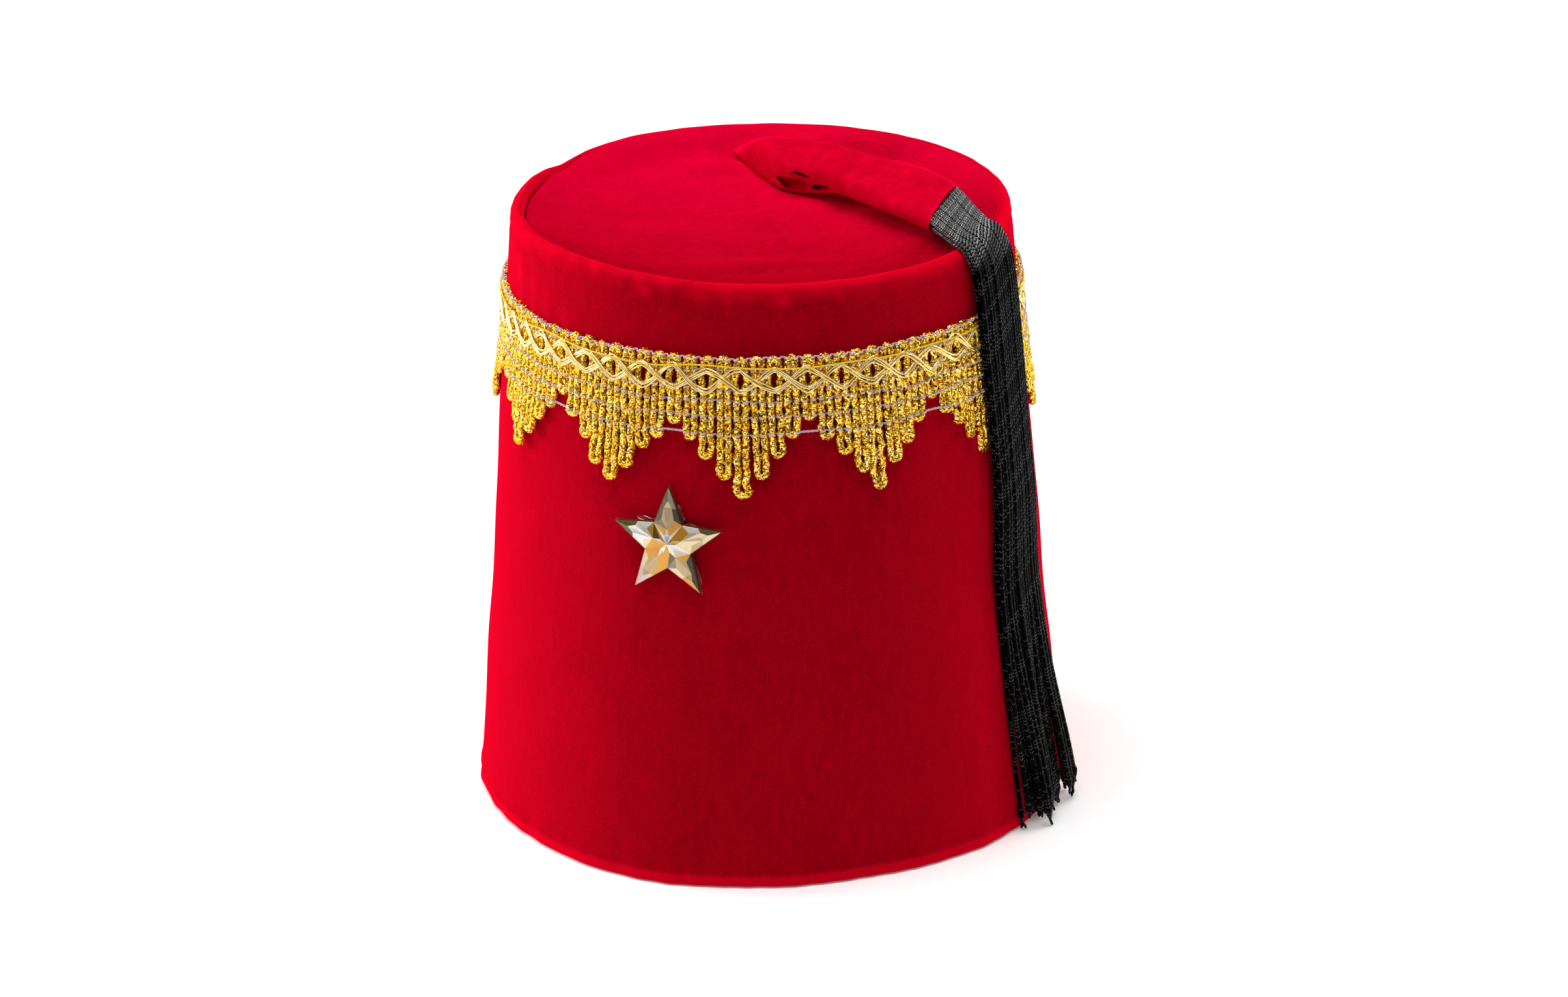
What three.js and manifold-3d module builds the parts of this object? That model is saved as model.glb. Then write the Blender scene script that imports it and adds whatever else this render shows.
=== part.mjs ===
// A red velvet fez: a tapered wall with a padded rim, a slack sunken crown, a folded velvet sleeve
// sewn on the crown, a black cord tassel that leaves the sleeve and hangs over the rim, a gold
// scalloped trim round the wall and a cut star stone.
// Millimetres, +Z up. The front faces -Y, and an azimuth turns from the front towards +X.

import * as THREE from "three";
import { mergeVertices } from "three/addons/utils/BufferGeometryUtils.js";
import Module from "manifold-3d";

const { lerp, clamp, smoothstep, degToRad, radToDeg } = THREE.MathUtils;

// Gap that is left between pieces that are sewn or glued together
const SEAM_GAP = 0.3;
const CUT_TOLERANCE = 0.03;
// Sides of the rings that are swept into locks and hollows
const RING_SIDES = 8;

// Wall
const HAT_HEIGHT = 190.7;
const HEM_RADIUS = 93;
const RIM_RADIUS = 77.25;
const WALL_THICKNESS = 3;
const RIM_ROLL_WIDTH = 4.4;
const RIM_ROLL_DEPTH = 5.6;
const HEM_ROLL_WIDTH = 4.2;
const HEM_ROLL_HEIGHT = 5.5;
const HEM_EDGE_ROUND = 0.9;
const WALL_SEGMENTS = 72;

// Crown
const CROWN_THICKNESS = 2;
const CROWN_DROP = 2.2;
const CROWN_SAG = 8.5;
const CROWN_SAG_POWER = 3;
const CROWN_SEGMENTS = 64;

// Sleeve that holds the head of the tassel
const SLEEVE_CLOTH = 1.6;
const SLEEVE_HEIGHT = 8.8;
const SLEEVE_FOLD_HOLLOW = 5;
const SLEEVE_POCKET_DEPTH = 11;

// Tassel
const TASSEL_THICKNESS = 3.2;
const TASSEL_LOCKS = 9;
const TASSEL_TIP_CLEARANCE = 1.4;
const TASSEL_SPLAY = 12;
const TASSEL_SETTLE = 40;
const TASSEL_LEVELS = 14;
const LOCK_TIP_WIDTH = 2.4;

// Gold trim
const TRIM_DROP = 22.2;
const TRIM_THICKNESS = 1.9;
const TRIM_HEADER_HEIGHT = 10.8;
const TRIM_FRINGE_LENGTH = 31.2;
const TRIM_FLARE = 2;
const TRIM_PICOT_HEIGHT = 0.9;
const TRIM_WINDOW_WIDTH = 1.7;
const TRIM_WINDOW_HEIGHT = 4;
const TRIM_LOOP_GAP = 0.5;
const TRIM_NOTCH_DEPTH = 5.5;
const TRIM_LOOP_COUNT = 100;
const TRIM_TIP_AZIMUTH = -5;

// Star stone
const STAR_RADIUS = 18.7;
const STAR_INNER_SHARE = 0.43;
const STAR_THICKNESS = 3.4;
const STAR_GIRDLE = 1.4;
const STAR_BEVEL = 0.9;
const STAR_TABLE_DROP = 0.5;
const STAR_DROP = 16.4;
const STAR_AZIMUTH = -20.3;
const STAR_POINTS = 5;

const RIM_ROLL_RADIUS = RIM_ROLL_WIDTH / 2;
const CROWN_RADIUS = RIM_RADIUS - RIM_ROLL_WIDTH - SEAM_GAP;
const TRIM_TOP = HAT_HEIGHT - TRIM_DROP;
const TRIM_HEADER_BOTTOM = TRIM_TOP - TRIM_HEADER_HEIGHT;
const TRIM_BOTTOM = TRIM_HEADER_BOTTOM - TRIM_FRINGE_LENGTH;
const TASSEL_LEVEL = (HAT_HEIGHT - RIM_ROLL_DEPTH - TASSEL_TIP_CLEARANCE) / TASSEL_LEVELS;

// Height of the rim's edge above or below its mean, as a share of the roll's width
const RIM_WAVE = [
  { azimuth: -180, lift: 0 },
  { azimuth: -134, lift: 0.02 },
  { azimuth: -125, lift: -0.22 },
  { azimuth: -116, lift: 0.02 },
  { azimuth: -80, lift: 0.14 },
  { azimuth: -45, lift: 0.36 },
  { azimuth: -10, lift: 0.04 },
  { azimuth: 25, lift: -0.12 },
  { azimuth: 45, lift: -0.2 },
  { azimuth: 80, lift: -0.05 },
  { azimuth: 130, lift: 0.06 },
  { azimuth: 180, lift: 0 },
];

// How far the hem stands out or in, as a share of the hem's radius
const HEM_WAVE = [
  { azimuth: -180, reach: 0 },
  { azimuth: -120, reach: 0.004 },
  { azimuth: -60, reach: -0.003 },
  { azimuth: -25, reach: 0.018 },
  { azimuth: -3, reach: -0.002 },
  { azimuth: 20, reach: -0.013 },
  { azimuth: 45, reach: 0.005 },
  { azimuth: 110, reach: -0.003 },
  { azimuth: 180, reach: 0 },
];

// Soft swellings and creases of the crown. Place, length and width are shares of the crown's radius,
// and the rise is a share of its sag.
const CROWN_FOLDS = [
  { right: 0.3, back: 0.84, turn: -12, length: 0.3, width: 0.1, rise: 0.75 },
  { right: 0.6, back: 0.5, turn: -30, length: 0.22, width: 0.05, rise: 0.14 },
  { right: 0.1, back: -0.42, turn: 4, length: 0.5, width: 0.09, rise: 0.12 },
  { right: -0.22, back: 0.72, turn: 10, length: 0.14, width: 0.05, rise: 0.2 },
  { right: 0.28, back: 0.28, turn: -50, length: 0.2, width: 0.12, rise: 0.2 },
];

// Sections of the sleeve from its fold to its mouth. The edges' places are shares of the rim's radius.
// The share carried runs from 0, lying on the crown, to 1, level with the rim. Heights are shares of
// the sleeve's height.
const SLEEVE_SECTIONS = [
  {
    along: 0, nearRight: 0.083, nearBack: 0.465, farRight: -0.112, farBack: 0.79,
    carried: 0, nearHeight: 0.16, midHeight: 0.2, farHeight: 0.16,
  },
  {
    along: 0.03, nearRight: 0.106, nearBack: 0.431, farRight: -0.075, farBack: 0.776,
    carried: 0, nearHeight: 0.75, midHeight: 0.72, farHeight: 0.5,
  },
  {
    along: 0.08, nearRight: 0.13, nearBack: 0.392, farRight: -0.01, farBack: 0.745,
    carried: 0, nearHeight: 1.05, midHeight: 1.1, farHeight: 0.98,
  },
  {
    along: 0.16, nearRight: 0.225, nearBack: 0.307, farRight: 0.085, farBack: 0.69,
    carried: 0.05, nearHeight: 1.02, midHeight: 1.26, farHeight: 1.34,
  },
  {
    along: 0.32, nearRight: 0.31, nearBack: 0.172, farRight: 0.275, farBack: 0.56,
    carried: 0.44, nearHeight: 0.8, midHeight: 1.1, farHeight: 1.14,
  },
  {
    along: 0.52, nearRight: 0.415, nearBack: -0.008, farRight: 0.49, farBack: 0.375,
    carried: 0.65, nearHeight: 0.7, midHeight: 0.95, farHeight: 0.86,
  },
  {
    along: 0.76, nearRight: 0.54, nearBack: -0.233, farRight: 0.668, farBack: 0.155,
    carried: 0.83, nearHeight: 0.7, midHeight: 0.9, farHeight: 0.98,
  },
  {
    along: 1, nearRight: 0.656, nearBack: -0.425, farRight: 0.79, farBack: -0.01,
    carried: 0.87, nearHeight: 0.72, midHeight: 0.84, farHeight: 0.78,
  },
];

// Edges of the tassel where it hangs on the wall, by the share of the hat's height
const TASSEL_HANG = [
  { rise: 0, near: 55.4, far: 75 },
  { rise: 0.09, near: 54.7, far: 73.4 },
  { rise: 0.23, near: 53.6, far: 71.2 },
  { rise: 0.36, near: 52.9, far: 70 },
  { rise: 0.5, near: 53, far: 68.6 },
  { rise: 0.6, near: 53.5, far: 67.8 },
  { rise: 0.75, near: 53.3, far: 67.6 },
  { rise: 0.9, near: 52.6, far: 67.5 },
  { rise: 1, near: 51.9, far: 67.3 },
];

// Locks of the tassel from its near to its far edge: how far each swings out, as a share of the
// splay, how far it swings aside, as a share of its own width, and how high it ends, as a share of
// the splay
const LOCK_TIPS = [
  { out: 0.08, aside: -0.2, end: 0.32 },
  { out: 0.2, aside: 0.1, end: 0.1 },
  { out: 0.05, aside: 0.5, end: 0.3 },
  { out: 0.42, aside: 0.1, end: 0 },
  { out: 0.12, aside: 0.3, end: 0.12 },
  { out: 0.8, aside: -0.3, end: 0.02 },
  { out: 0.3, aside: -0.1, end: 0.1 },
  { out: 0.92, aside: 0.2, end: 0.05 },
  { out: 0.6, aside: 0.9, end: 0.4 },
];

// Length of each loop of one scallop, from its valley over its tip, as a share of the fringe
const SCALLOP_SHARES = [0.304, 0.465, 0.638, 0.824, 1, 0.824, 0.638, 0.465];

const wasm = await Module();
wasm.setup();

// Returns a smooth curve through all columns of a table, read by the value of its key column.
function throughTable(rows, key) {
  const columns = Object.keys(rows[0]).filter((name) => name !== key);
  const keys = Float64Array.from(rows, (row) => row[key]);
  const values = Float64Array.from(rows.flatMap((row) => columns.map((name) => row[name])));
  const curve = new THREE.CubicInterpolant(keys, values, columns.length);
  return (value) => {
    const read = curve.evaluate(value);
    return Object.fromEntries(columns.map((name, i) => [name, read[i]]));
  };
}

const rimWaveAt = throughTable(RIM_WAVE, "azimuth");
const hemWaveAt = throughTable(HEM_WAVE, "azimuth");
const sleeveAt = throughTable(SLEEVE_SECTIONS, "along");
const hangAt = throughTable(TASSEL_HANG, "rise");

// Places and surfaces that several pieces share

function around(azimuth, radius, height) {
  const turn = degToRad(azimuth);
  return new THREE.Vector3(radius * Math.sin(turn), -radius * Math.cos(turn), height);
}

function azimuthOf(right, back) {
  return radToDeg(Math.atan2(right, -back));
}

function rimLift(azimuth) {
  return RIM_ROLL_WIDTH * rimWaveAt(azimuth).lift;
}

// Outer radius of the wall
function wallRadius(azimuth, height) {
  const rise = clamp(height / HAT_HEIGHT, 0, 1);
  const wave = HEM_RADIUS * hemWaveAt(azimuth).reach * (1 - rise) ** 2;
  return lerp(HEM_RADIUS, RIM_RADIUS, rise) + wave;
}

// Height of one fold of the crown above the smooth dish
function foldRise(fold, right, back) {
  const turn = degToRad(fold.turn);
  const dx = right / CROWN_RADIUS - fold.right;
  const dy = back / CROWN_RADIUS - fold.back;
  const along = (dx * Math.cos(turn) + dy * Math.sin(turn)) / fold.length;
  const across = (dy * Math.cos(turn) - dx * Math.sin(turn)) / fold.width;
  return CROWN_SAG * fold.rise * Math.exp(-(along ** 2) - across ** 2);
}

// Height of the crown's upper face
function crownTop(right, back) {
  const share = Math.hypot(right, back) / CROWN_RADIUS;
  const edge = HAT_HEIGHT - CROWN_DROP + rimLift(azimuthOf(right, back)) * share ** 2;
  const dish = CROWN_SAG * (1 - share ** CROWN_SAG_POWER);
  const folds = CROWN_FOLDS.reduce((sum, fold) => sum + foldRise(fold, right, back), 0);
  return edge - dish + folds * clamp(1 - share ** 8, 0, 1);
}

// How far the fringe of the trim stands off the wall. The tassel presses it flat.
function trimFlare(azimuth, height) {
  const share = clamp((TRIM_HEADER_BOTTOM - height) / TRIM_FRINGE_LENGTH, 0, 1);
  const hang = hangAt(height / HAT_HEIGHT);
  const half = (hang.far - hang.near) / 2;
  const aside = Math.abs(azimuth - hang.near - half);
  return TRIM_FLARE * share ** 2 * smoothstep(aside, half * 1.3, half * 2);
}

// A point in the sleeve. Along runs from the fold to the mouth, across from the near to the far
// edge and up from the lower to the upper face.
function sleevePoint(along, across, up) {
  const section = sleeveAt(along);
  const right = RIM_RADIUS * lerp(section.nearRight, section.farRight, across);
  const back = RIM_RADIUS * lerp(section.nearBack, section.farBack, across);
  const below = crownTop(right, back);
  const floor = lerp(below, HAT_HEIGHT + rimLift(azimuthOf(right, back)), section.carried);
  const arch = 4 * across * (1 - across);
  const ends = lerp(section.nearHeight, section.farHeight, across);
  const bulge = section.midHeight - (section.nearHeight + section.farHeight) / 2;
  const height = SLEEVE_HEIGHT * (ends + arch * bulge);
  return new THREE.Vector3(right, back, floor + SEAM_GAP + up * height);
}

// Width of the sleeve's mouth, which sets the share of its width that a length fills
const MOUTH_WIDTH = sleevePoint(1, 0, 0).distanceTo(sleevePoint(1, 1, 0));
const SLEEVE_LENGTH = sleevePoint(0, 0.5, 0).distanceTo(sleevePoint(1, 0.5, 0));
const POCKET_START = 1 - SLEEVE_POCKET_DEPTH / SLEEVE_LENGTH;

// Solids and meshes

// Moves every vertex of a geometry, seams and poles alike.
function reshape(geometry, move) {
  const positions = geometry.getAttribute("position");
  const point = new THREE.Vector3();
  for (let i = 0; i < positions.count; i += 1) {
    point.fromBufferAttribute(positions, i);
    const moved = move(point);
    positions.setXYZ(i, moved.x, moved.y, moved.z);
  }
  return geometry;
}

function solidFrom(geometry) {
  const bare = geometry.clone();
  bare.deleteAttribute("normal");
  bare.deleteAttribute("uv");
  const merged = mergeVertices(bare, 1e-4);
  const vertProperties = new Float32Array(merged.getAttribute("position").array);
  const triVerts = new Uint32Array(merged.getIndex().array);
  return new wasm.Manifold(new wasm.Mesh({ numProp: 3, vertProperties, triVerts }));
}

// The slivers that a cut leaves are closed up to the tolerance.
function geometryFrom(solid) {
  const { vertProperties, triVerts } = solid.setTolerance(CUT_TOLERANCE).getMesh();
  const geometry = new THREE.BufferGeometry();
  geometry.setAttribute("position", new THREE.BufferAttribute(vertProperties, 3));
  geometry.setIndex(new THREE.BufferAttribute(triVerts, 1));
  return geometry;
}

// Sweeps an outline, given in shares, through steps whose shares place() turns into points.
function sweep(outline, steps, place) {
  const geometry = new THREE.ExtrudeGeometry(outline, {
    depth: 1,
    steps,
    bevelEnabled: false,
  });
  return reshape(geometry, (point) => place(point.z, point.x, point.y));
}

// Adds evenly spaced points of a straight or bumpy side to an outline.
function addSide(outline, from, to, pieces, rise = () => 0) {
  for (let i = 1; i <= pieces; i += 1) {
    const share = i / pieces;
    outline.lineTo(lerp(from.x, to.x, share), lerp(from.y, to.y, share) + rise(share));
  }
}

// Adds the corners of a rounded end, half as high as it is placed, to an outline of height 1.
function addEnd(outline, middle, round, start) {
  for (const turn of [45, 90, 135]) {
    const angle = degToRad(start + turn);
    outline.lineTo(middle + round * Math.cos(angle), 0.5 + 0.5 * Math.sin(angle));
  }
}

// A ring of corners on the unit circle
function ringOutline(corners) {
  const cornerAt = (unused, i) => {
    const angle = (2 * Math.PI * i) / corners;
    return new THREE.Vector2(Math.cos(angle), Math.sin(angle));
  };
  return new THREE.Shape(Array.from({ length: corners }, cornerAt));
}

// Wall with its padded rim and turned-up hem

function wallProfile() {
  const inset = (width, height) => new THREE.Vector2(HEM_RADIUS - width, height);
  const points = [inset(HEM_EDGE_ROUND, 0), inset(0, HEM_EDGE_ROUND), inset(0, HEM_ROLL_HEIGHT)];
  for (const rise of [0.25, 0.5, 0.75, 0.9]) {
    points.push(inset(0, HAT_HEIGHT * rise));
  }
  for (const turn of [0, 45, 90, 135, 180]) {
    const angle = degToRad(turn);
    const width = RIM_ROLL_RADIUS * (1 - Math.cos(angle));
    const height = HAT_HEIGHT - RIM_ROLL_RADIUS * (1 - Math.sin(angle));
    points.push(inset(width, height));
  }
  const rollBottom = HAT_HEIGHT - RIM_ROLL_DEPTH;
  points.push(inset(RIM_ROLL_WIDTH, rollBottom));
  points.push(inset(WALL_THICKNESS, rollBottom - RIM_ROLL_WIDTH));
  points.push(inset(WALL_THICKNESS, HAT_HEIGHT / 2));
  points.push(inset(WALL_THICKNESS, HEM_ROLL_HEIGHT + HEM_EDGE_ROUND));
  points.push(inset(HEM_ROLL_WIDTH, HEM_ROLL_HEIGHT));
  points.push(inset(HEM_ROLL_WIDTH, HEM_EDGE_ROUND));
  points.push(inset(HEM_ROLL_WIDTH - HEM_EDGE_ROUND, 0));
  points.push(points[0].clone());
  return points;
}

function sideWall() {
  const straight = new THREE.LatheGeometry(wallProfile(), WALL_SEGMENTS).rotateX(Math.PI / 2);
  return reshape(straight, (point) => {
    const azimuth = azimuthOf(point.x, point.y);
    const inset = HEM_RADIUS - Math.hypot(point.x, point.y);
    const nearRim = smoothstep(point.z, HAT_HEIGHT * 0.7, HAT_HEIGHT - RIM_ROLL_DEPTH);
    const height = point.z + rimLift(azimuth) * nearRim;
    return around(azimuth, wallRadius(azimuth, point.z) - inset, height);
  });
}

// Slack crown, sewn inside the rim's roll

function crown() {
  const shares = [0.2, 0.4, 0.57, 0.7, 0.8, 0.9, 1];
  const ring = (share, height) => new THREE.Vector2(CROWN_RADIUS * share, height);
  const lower = shares.map((share) => ring(share, -CROWN_THICKNESS));
  const upper = shares.map((share) => ring(share, 0)).reverse();
  const profile = [ring(0, -CROWN_THICKNESS), ...lower, ...upper, ring(0, 0)];
  const flat = new THREE.LatheGeometry(profile, CROWN_SEGMENTS).rotateX(Math.PI / 2);
  return reshape(flat, (point) => point.setZ(point.z + crownTop(point.x, point.y)));
}

// Folded sleeve with the hollow of its fold and the pocket for the tassel

function sleeve() {
  const round = 0.13;
  const outline = new THREE.Shape();
  outline.moveTo(round, 0);
  addSide(outline, { x: round, y: 0 }, { x: 1 - round, y: 0 }, 4);
  addEnd(outline, 1 - round, round, -90);
  addSide(outline, { x: 1 - round, y: 1 }, { x: round, y: 1 }, 4);
  addEnd(outline, round, round, 90);
  const body = sweep(outline, 14, (share, across, up) => sleevePoint(share ** 1.5, across, up));
  return geometryFrom(solidFrom(body).subtract(foldHollow()).subtract(pocket()));
}

// The hollow inside the fold, open at the near edge and running out towards the far one
function foldHollow() {
  const middle = 0.09;
  return solidFrom(
    sweep(ringOutline(RING_SIDES), 3, (share, along, up) => {
      const across = lerp(-0.2, 0.7, share);
      const size = (SLEEVE_FOLD_HOLLOW / 2) * lerp(1, 0.3, clamp(across, 0, 1));
      const centre = sleevePoint(middle, clamp(across, 0, 1), 0.5);
      const edge = sleevePoint(middle, 1, 0.5).sub(sleevePoint(middle, 0, 0.5));
      const behind = new THREE.Vector3(-edge.y, edge.x, 0).normalize();
      centre.addScaledVector(edge, Math.min(across, 0));
      centre.addScaledVector(behind, along * size);
      return centre.setZ(centre.z + up * size * 0.7);
    }),
  );
}

// Room round the head of the tassel, open at the mouth
function pocket() {
  return solidFrom(bandSweep(0, ROUTE_MOUTH + 2, SEAM_GAP));
}

// Tassel

// Distance of the middle of the tassel from the wall. It hangs clear over the trim and settles on
// the wall below it.
function tasselStandOff(height) {
  const rollBottom = HAT_HEIGHT - RIM_ROLL_DEPTH;
  const clearTop = Math.min(TRIM_TOP + TASSEL_LEVEL, rollBottom);
  const upper = 1 - smoothstep(height, clearTop, HAT_HEIGHT);
  const clearBottom = TRIM_BOTTOM - TASSEL_LEVEL;
  const lower = smoothstep(height, clearBottom - TASSEL_SETTLE, clearBottom);
  return SEAM_GAP + TASSEL_THICKNESS / 2 + (SEAM_GAP + TRIM_THICKNESS) * upper * lower;
}

// Route of one line of cords from the pocket over the rim to the floor. Across runs from the near to
// the far edge of the tassel.
function cordRoute(across) {
  const side = (SLEEVE_CLOTH + SEAM_GAP) / MOUTH_WIDTH;
  const inSleeve = lerp(side, 1 - side, across);
  const start = [POCKET_START, (POCKET_START + 1) / 2, 1];
  const points = start.map((along) => sleevePoint(along, inSleeve, 0.5));

  const over = hangAt(1);
  const azimuth = lerp(over.near, over.far, across);
  const bend = RIM_ROLL_RADIUS + SEAM_GAP + TASSEL_THICKNESS / 2;
  for (const turn of [0, 35, 70]) {
    const angle = degToRad(turn);
    const radius = wallRadius(azimuth, HAT_HEIGHT) - RIM_ROLL_RADIUS + bend * Math.sin(angle);
    const height = HAT_HEIGHT - RIM_ROLL_RADIUS + bend * Math.cos(angle) + rimLift(azimuth);
    points.push(around(azimuth, radius, height));
  }

  for (let i = 0; i <= TASSEL_LEVELS; i += 1) {
    const height = TASSEL_TIP_CLEARANCE + TASSEL_LEVEL * (TASSEL_LEVELS - i);
    const hang = hangAt(height / HAT_HEIGHT);
    const place = lerp(hang.near, hang.far, across);
    points.push(around(place, wallRadius(place, height) + tasselStandOff(height), height));
  }
  return points;
}

const ROUTE_POINTS = cordRoute(0).length;
const ROUTE_MOUTH = 2;
const BAND_START = (ROUTE_MOUTH * SEAM_GAP) / SLEEVE_POCKET_DEPTH;

// A point of the tassel's middle surface. Station counts the points of the route.
function cordPoint(station, across) {
  const route = new THREE.CatmullRomCurve3(cordRoute(across), false, "centripetal");
  return route.getPoint(clamp(station / (ROUTE_POINTS - 1), 0, 1));
}

// Direction that points out of the tassel's upper or outer face
function cordNormal(station, across) {
  const step = 0.02;
  const along = cordPoint(station + step, across).sub(cordPoint(station - step, across));
  const aside = cordPoint(station, across + step).sub(cordPoint(station, across - step));
  return along.cross(aside).normalize();
}

// The packed cords up to a station of the route, grown by a clearance on every side. They start a
// little past the route's first point.
function bandSweep(first, last, clearance) {
  const ridge = 0.16;
  const side = clearance / MOUTH_WIDTH;
  const half = 0.5 + clearance / TASSEL_THICKNESS;
  const outline = new THREE.Shape();
  const bumps = (share) => -ridge * Math.abs(Math.cos(share * TASSEL_LOCKS * Math.PI));
  const rise = clearance > 0 ? () => 0 : bumps;
  outline.moveTo(-side, -half);
  addSide(outline, { x: -side, y: -half }, { x: 1 + side, y: -half }, 5);
  addSide(outline, { x: 1 + side, y: -half }, { x: 1 + side, y: half + rise(0) }, 1);
  addSide(outline, { x: 1 + side, y: half }, { x: -side, y: half }, TASSEL_LOCKS * 2, rise);
  return sweep(outline, last, (share, across, up) => {
    const station = Math.max(first, last * share);
    const lift = cordNormal(station, across).multiplyScalar(up * TASSEL_THICKNESS);
    return cordPoint(station, across).add(lift);
  });
}

// One lock of cords, from inside the packed band to its tip
function lock(index, first) {
  const last = ROUTE_POINTS - 1;
  const tip = LOCK_TIPS[index % LOCK_TIPS.length];
  const middle = (index + 0.5) / TASSEL_LOCKS;
  return sweep(ringOutline(RING_SIDES), last - first, (share, aside, up) => {
    const station = lerp(first, last, share);
    const loose = share ** 3;
    const hang = cordPoint(station, 1).distanceTo(cordPoint(station, 0));
    const packed = (0.46 * hang) / TASSEL_LOCKS;
    const width = lerp(packed, LOCK_TIP_WIDTH / 2, smoothstep(share, 0.45, 1));
    const thick = lerp(TASSEL_THICKNESS * 0.44, LOCK_TIP_WIDTH / 2, loose);
    const across = middle + (aside * width) / hang + (tip.aside * loose) / TASSEL_LOCKS;
    const point = cordPoint(station, across);
    const normal = cordNormal(station, across);
    point.addScaledVector(normal, up * thick + TASSEL_SPLAY * tip.out * loose);
    const risen = TASSEL_SPLAY * tip.end * smoothstep(share, 0.4, 1);
    return point.setZ(point.z + risen);
  });
}

function tassel() {
  const bandEnd = 11;
  const locksStart = bandEnd - 1;
  let fused = solidFrom(bandSweep(BAND_START, bandEnd, 0));
  for (let i = 0; i < TASSEL_LOCKS; i += 1) {
    fused = fused.add(solidFrom(lock(i, locksStart)));
  }
  return geometryFrom(fused);
}

// Gold trim: one column for each loop of the fringe, joined along the header

// Corner points of one column, in loop widths from its middle and heights in millimetres
function trimColumn(index) {
  const scallop = SCALLOP_SHARES.length;
  const lengthOf = (i) => {
    const fromTip = i - Math.floor(TRIM_LOOP_COUNT / 2) + Math.floor(scallop / 2);
    return SCALLOP_SHARES[(fromTip + scallop * TRIM_LOOP_COUNT) % scallop];
  };
  const bottomOf = (i) => TRIM_HEADER_BOTTOM - TRIM_FRINGE_LENGTH * lengthOf(i);
  const joinOf = (i, j) => {
    const lower = Math.max(bottomOf(i), bottomOf(j)) + TRIM_NOTCH_DEPTH;
    return Math.min(lower, TRIM_HEADER_BOTTOM);
  };
  const bottom = bottomOf(index);
  const side = 0.5 - (TRIM_LOOP_GAP * TRIM_LOOP_COUNT) / (4 * Math.PI * RIM_RADIUS);
  const shoulder = TRIM_NOTCH_DEPTH * 0.3;
  return [
    [-0.5, TRIM_TOP],
    [-0.5, joinOf(index, index - 1)],
    [-side, bottom + shoulder],
    [-side / 2, bottom],
    [side / 2, bottom],
    [side, bottom + shoulder],
    [0.5, joinOf(index, index + 1)],
    [0.5, TRIM_TOP],
    [0, TRIM_TOP + TRIM_PICOT_HEIGHT],
  ].map(([x, y]) => new THREE.Vector2(x, y));
}

// The gap that every second loop leaves in the header
function trimWindow() {
  const half = (TRIM_WINDOW_WIDTH * TRIM_LOOP_COUNT) / (4 * Math.PI * RIM_RADIUS);
  const middle = TRIM_TOP - TRIM_HEADER_HEIGHT * 0.58;
  const reach = TRIM_WINDOW_HEIGHT / 2;
  return [
    new THREE.Vector2(0, middle - reach),
    new THREE.Vector2(half, middle),
    new THREE.Vector2(0, middle + reach),
    new THREE.Vector2(-half, middle),
  ];
}

function trim() {
  const pitch = 360 / TRIM_LOOP_COUNT;
  const corners = [];
  const triangles = [];
  const known = new Map();
  const cornerAt = (x, y) => {
    const key = x.toFixed(4) + " " + y.toFixed(4);
    if (!known.has(key)) {
      known.set(key, corners.length);
      corners.push({ x, y });
    }
    return known.get(key);
  };
  for (let i = 0; i < TRIM_LOOP_COUNT; i += 1) {
    const contour = trimColumn(i);
    const holes = i % 2 === 0 ? [trimWindow()] : [];
    const points = [contour, ...holes].flat();
    for (const face of THREE.ShapeUtils.triangulateShape(contour, holes)) {
      triangles.push(face.map((n) => cornerAt(points[n].x + i, points[n].y)));
    }
  }
  const firstAzimuth = TRIM_TIP_AZIMUTH - pitch * (TRIM_LOOP_COUNT / 2);
  const butt = radToDeg(SEAM_GAP / RIM_RADIUS);
  return thickened(corners, triangles, (corner, depth) => {
    const share = (corner.x + 0.5) / TRIM_LOOP_COUNT;
    const azimuth = firstAzimuth - pitch / 2 + share * (360 - butt);
    const turned = ((azimuth + 540) % 360) - 180;
    const off = SEAM_GAP + trimFlare(turned, corner.y) + depth * TRIM_THICKNESS;
    return around(turned, wallRadius(turned, corner.y) + off, corner.y);
  });
}

// Closes a flat net of triangles into a sheet. Each corner is placed at depth 0 and 1, and each
// edge that only one triangle uses gets a side face.
function thickened(corners, triangles, place) {
  const positions = [];
  for (const depth of [0, 1]) {
    for (const corner of corners) {
      positions.push(...place(corner, depth).toArray());
    }
  }
  const count = corners.length;
  const indices = [];
  const edges = new Set(triangles.flatMap(([a, b, c]) => [a + " " + b, b + " " + c, c + " " + a]));
  for (const [a, b, c] of triangles) {
    indices.push(a, c, b, a + count, b + count, c + count);
    for (const [from, to] of [[a, b], [b, c], [c, a]]) {
      if (!edges.has(to + " " + from)) {
        indices.push(from, to, to + count, from, to + count, from + count);
      }
    }
  }
  const geometry = new THREE.BufferGeometry();
  geometry.setAttribute("position", new THREE.Float32BufferAttribute(positions, 3));
  geometry.setIndex(indices);
  return geometry;
}

// Cut star with a girdle, a bevel, ridges that rise to the middle and a small table

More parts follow.
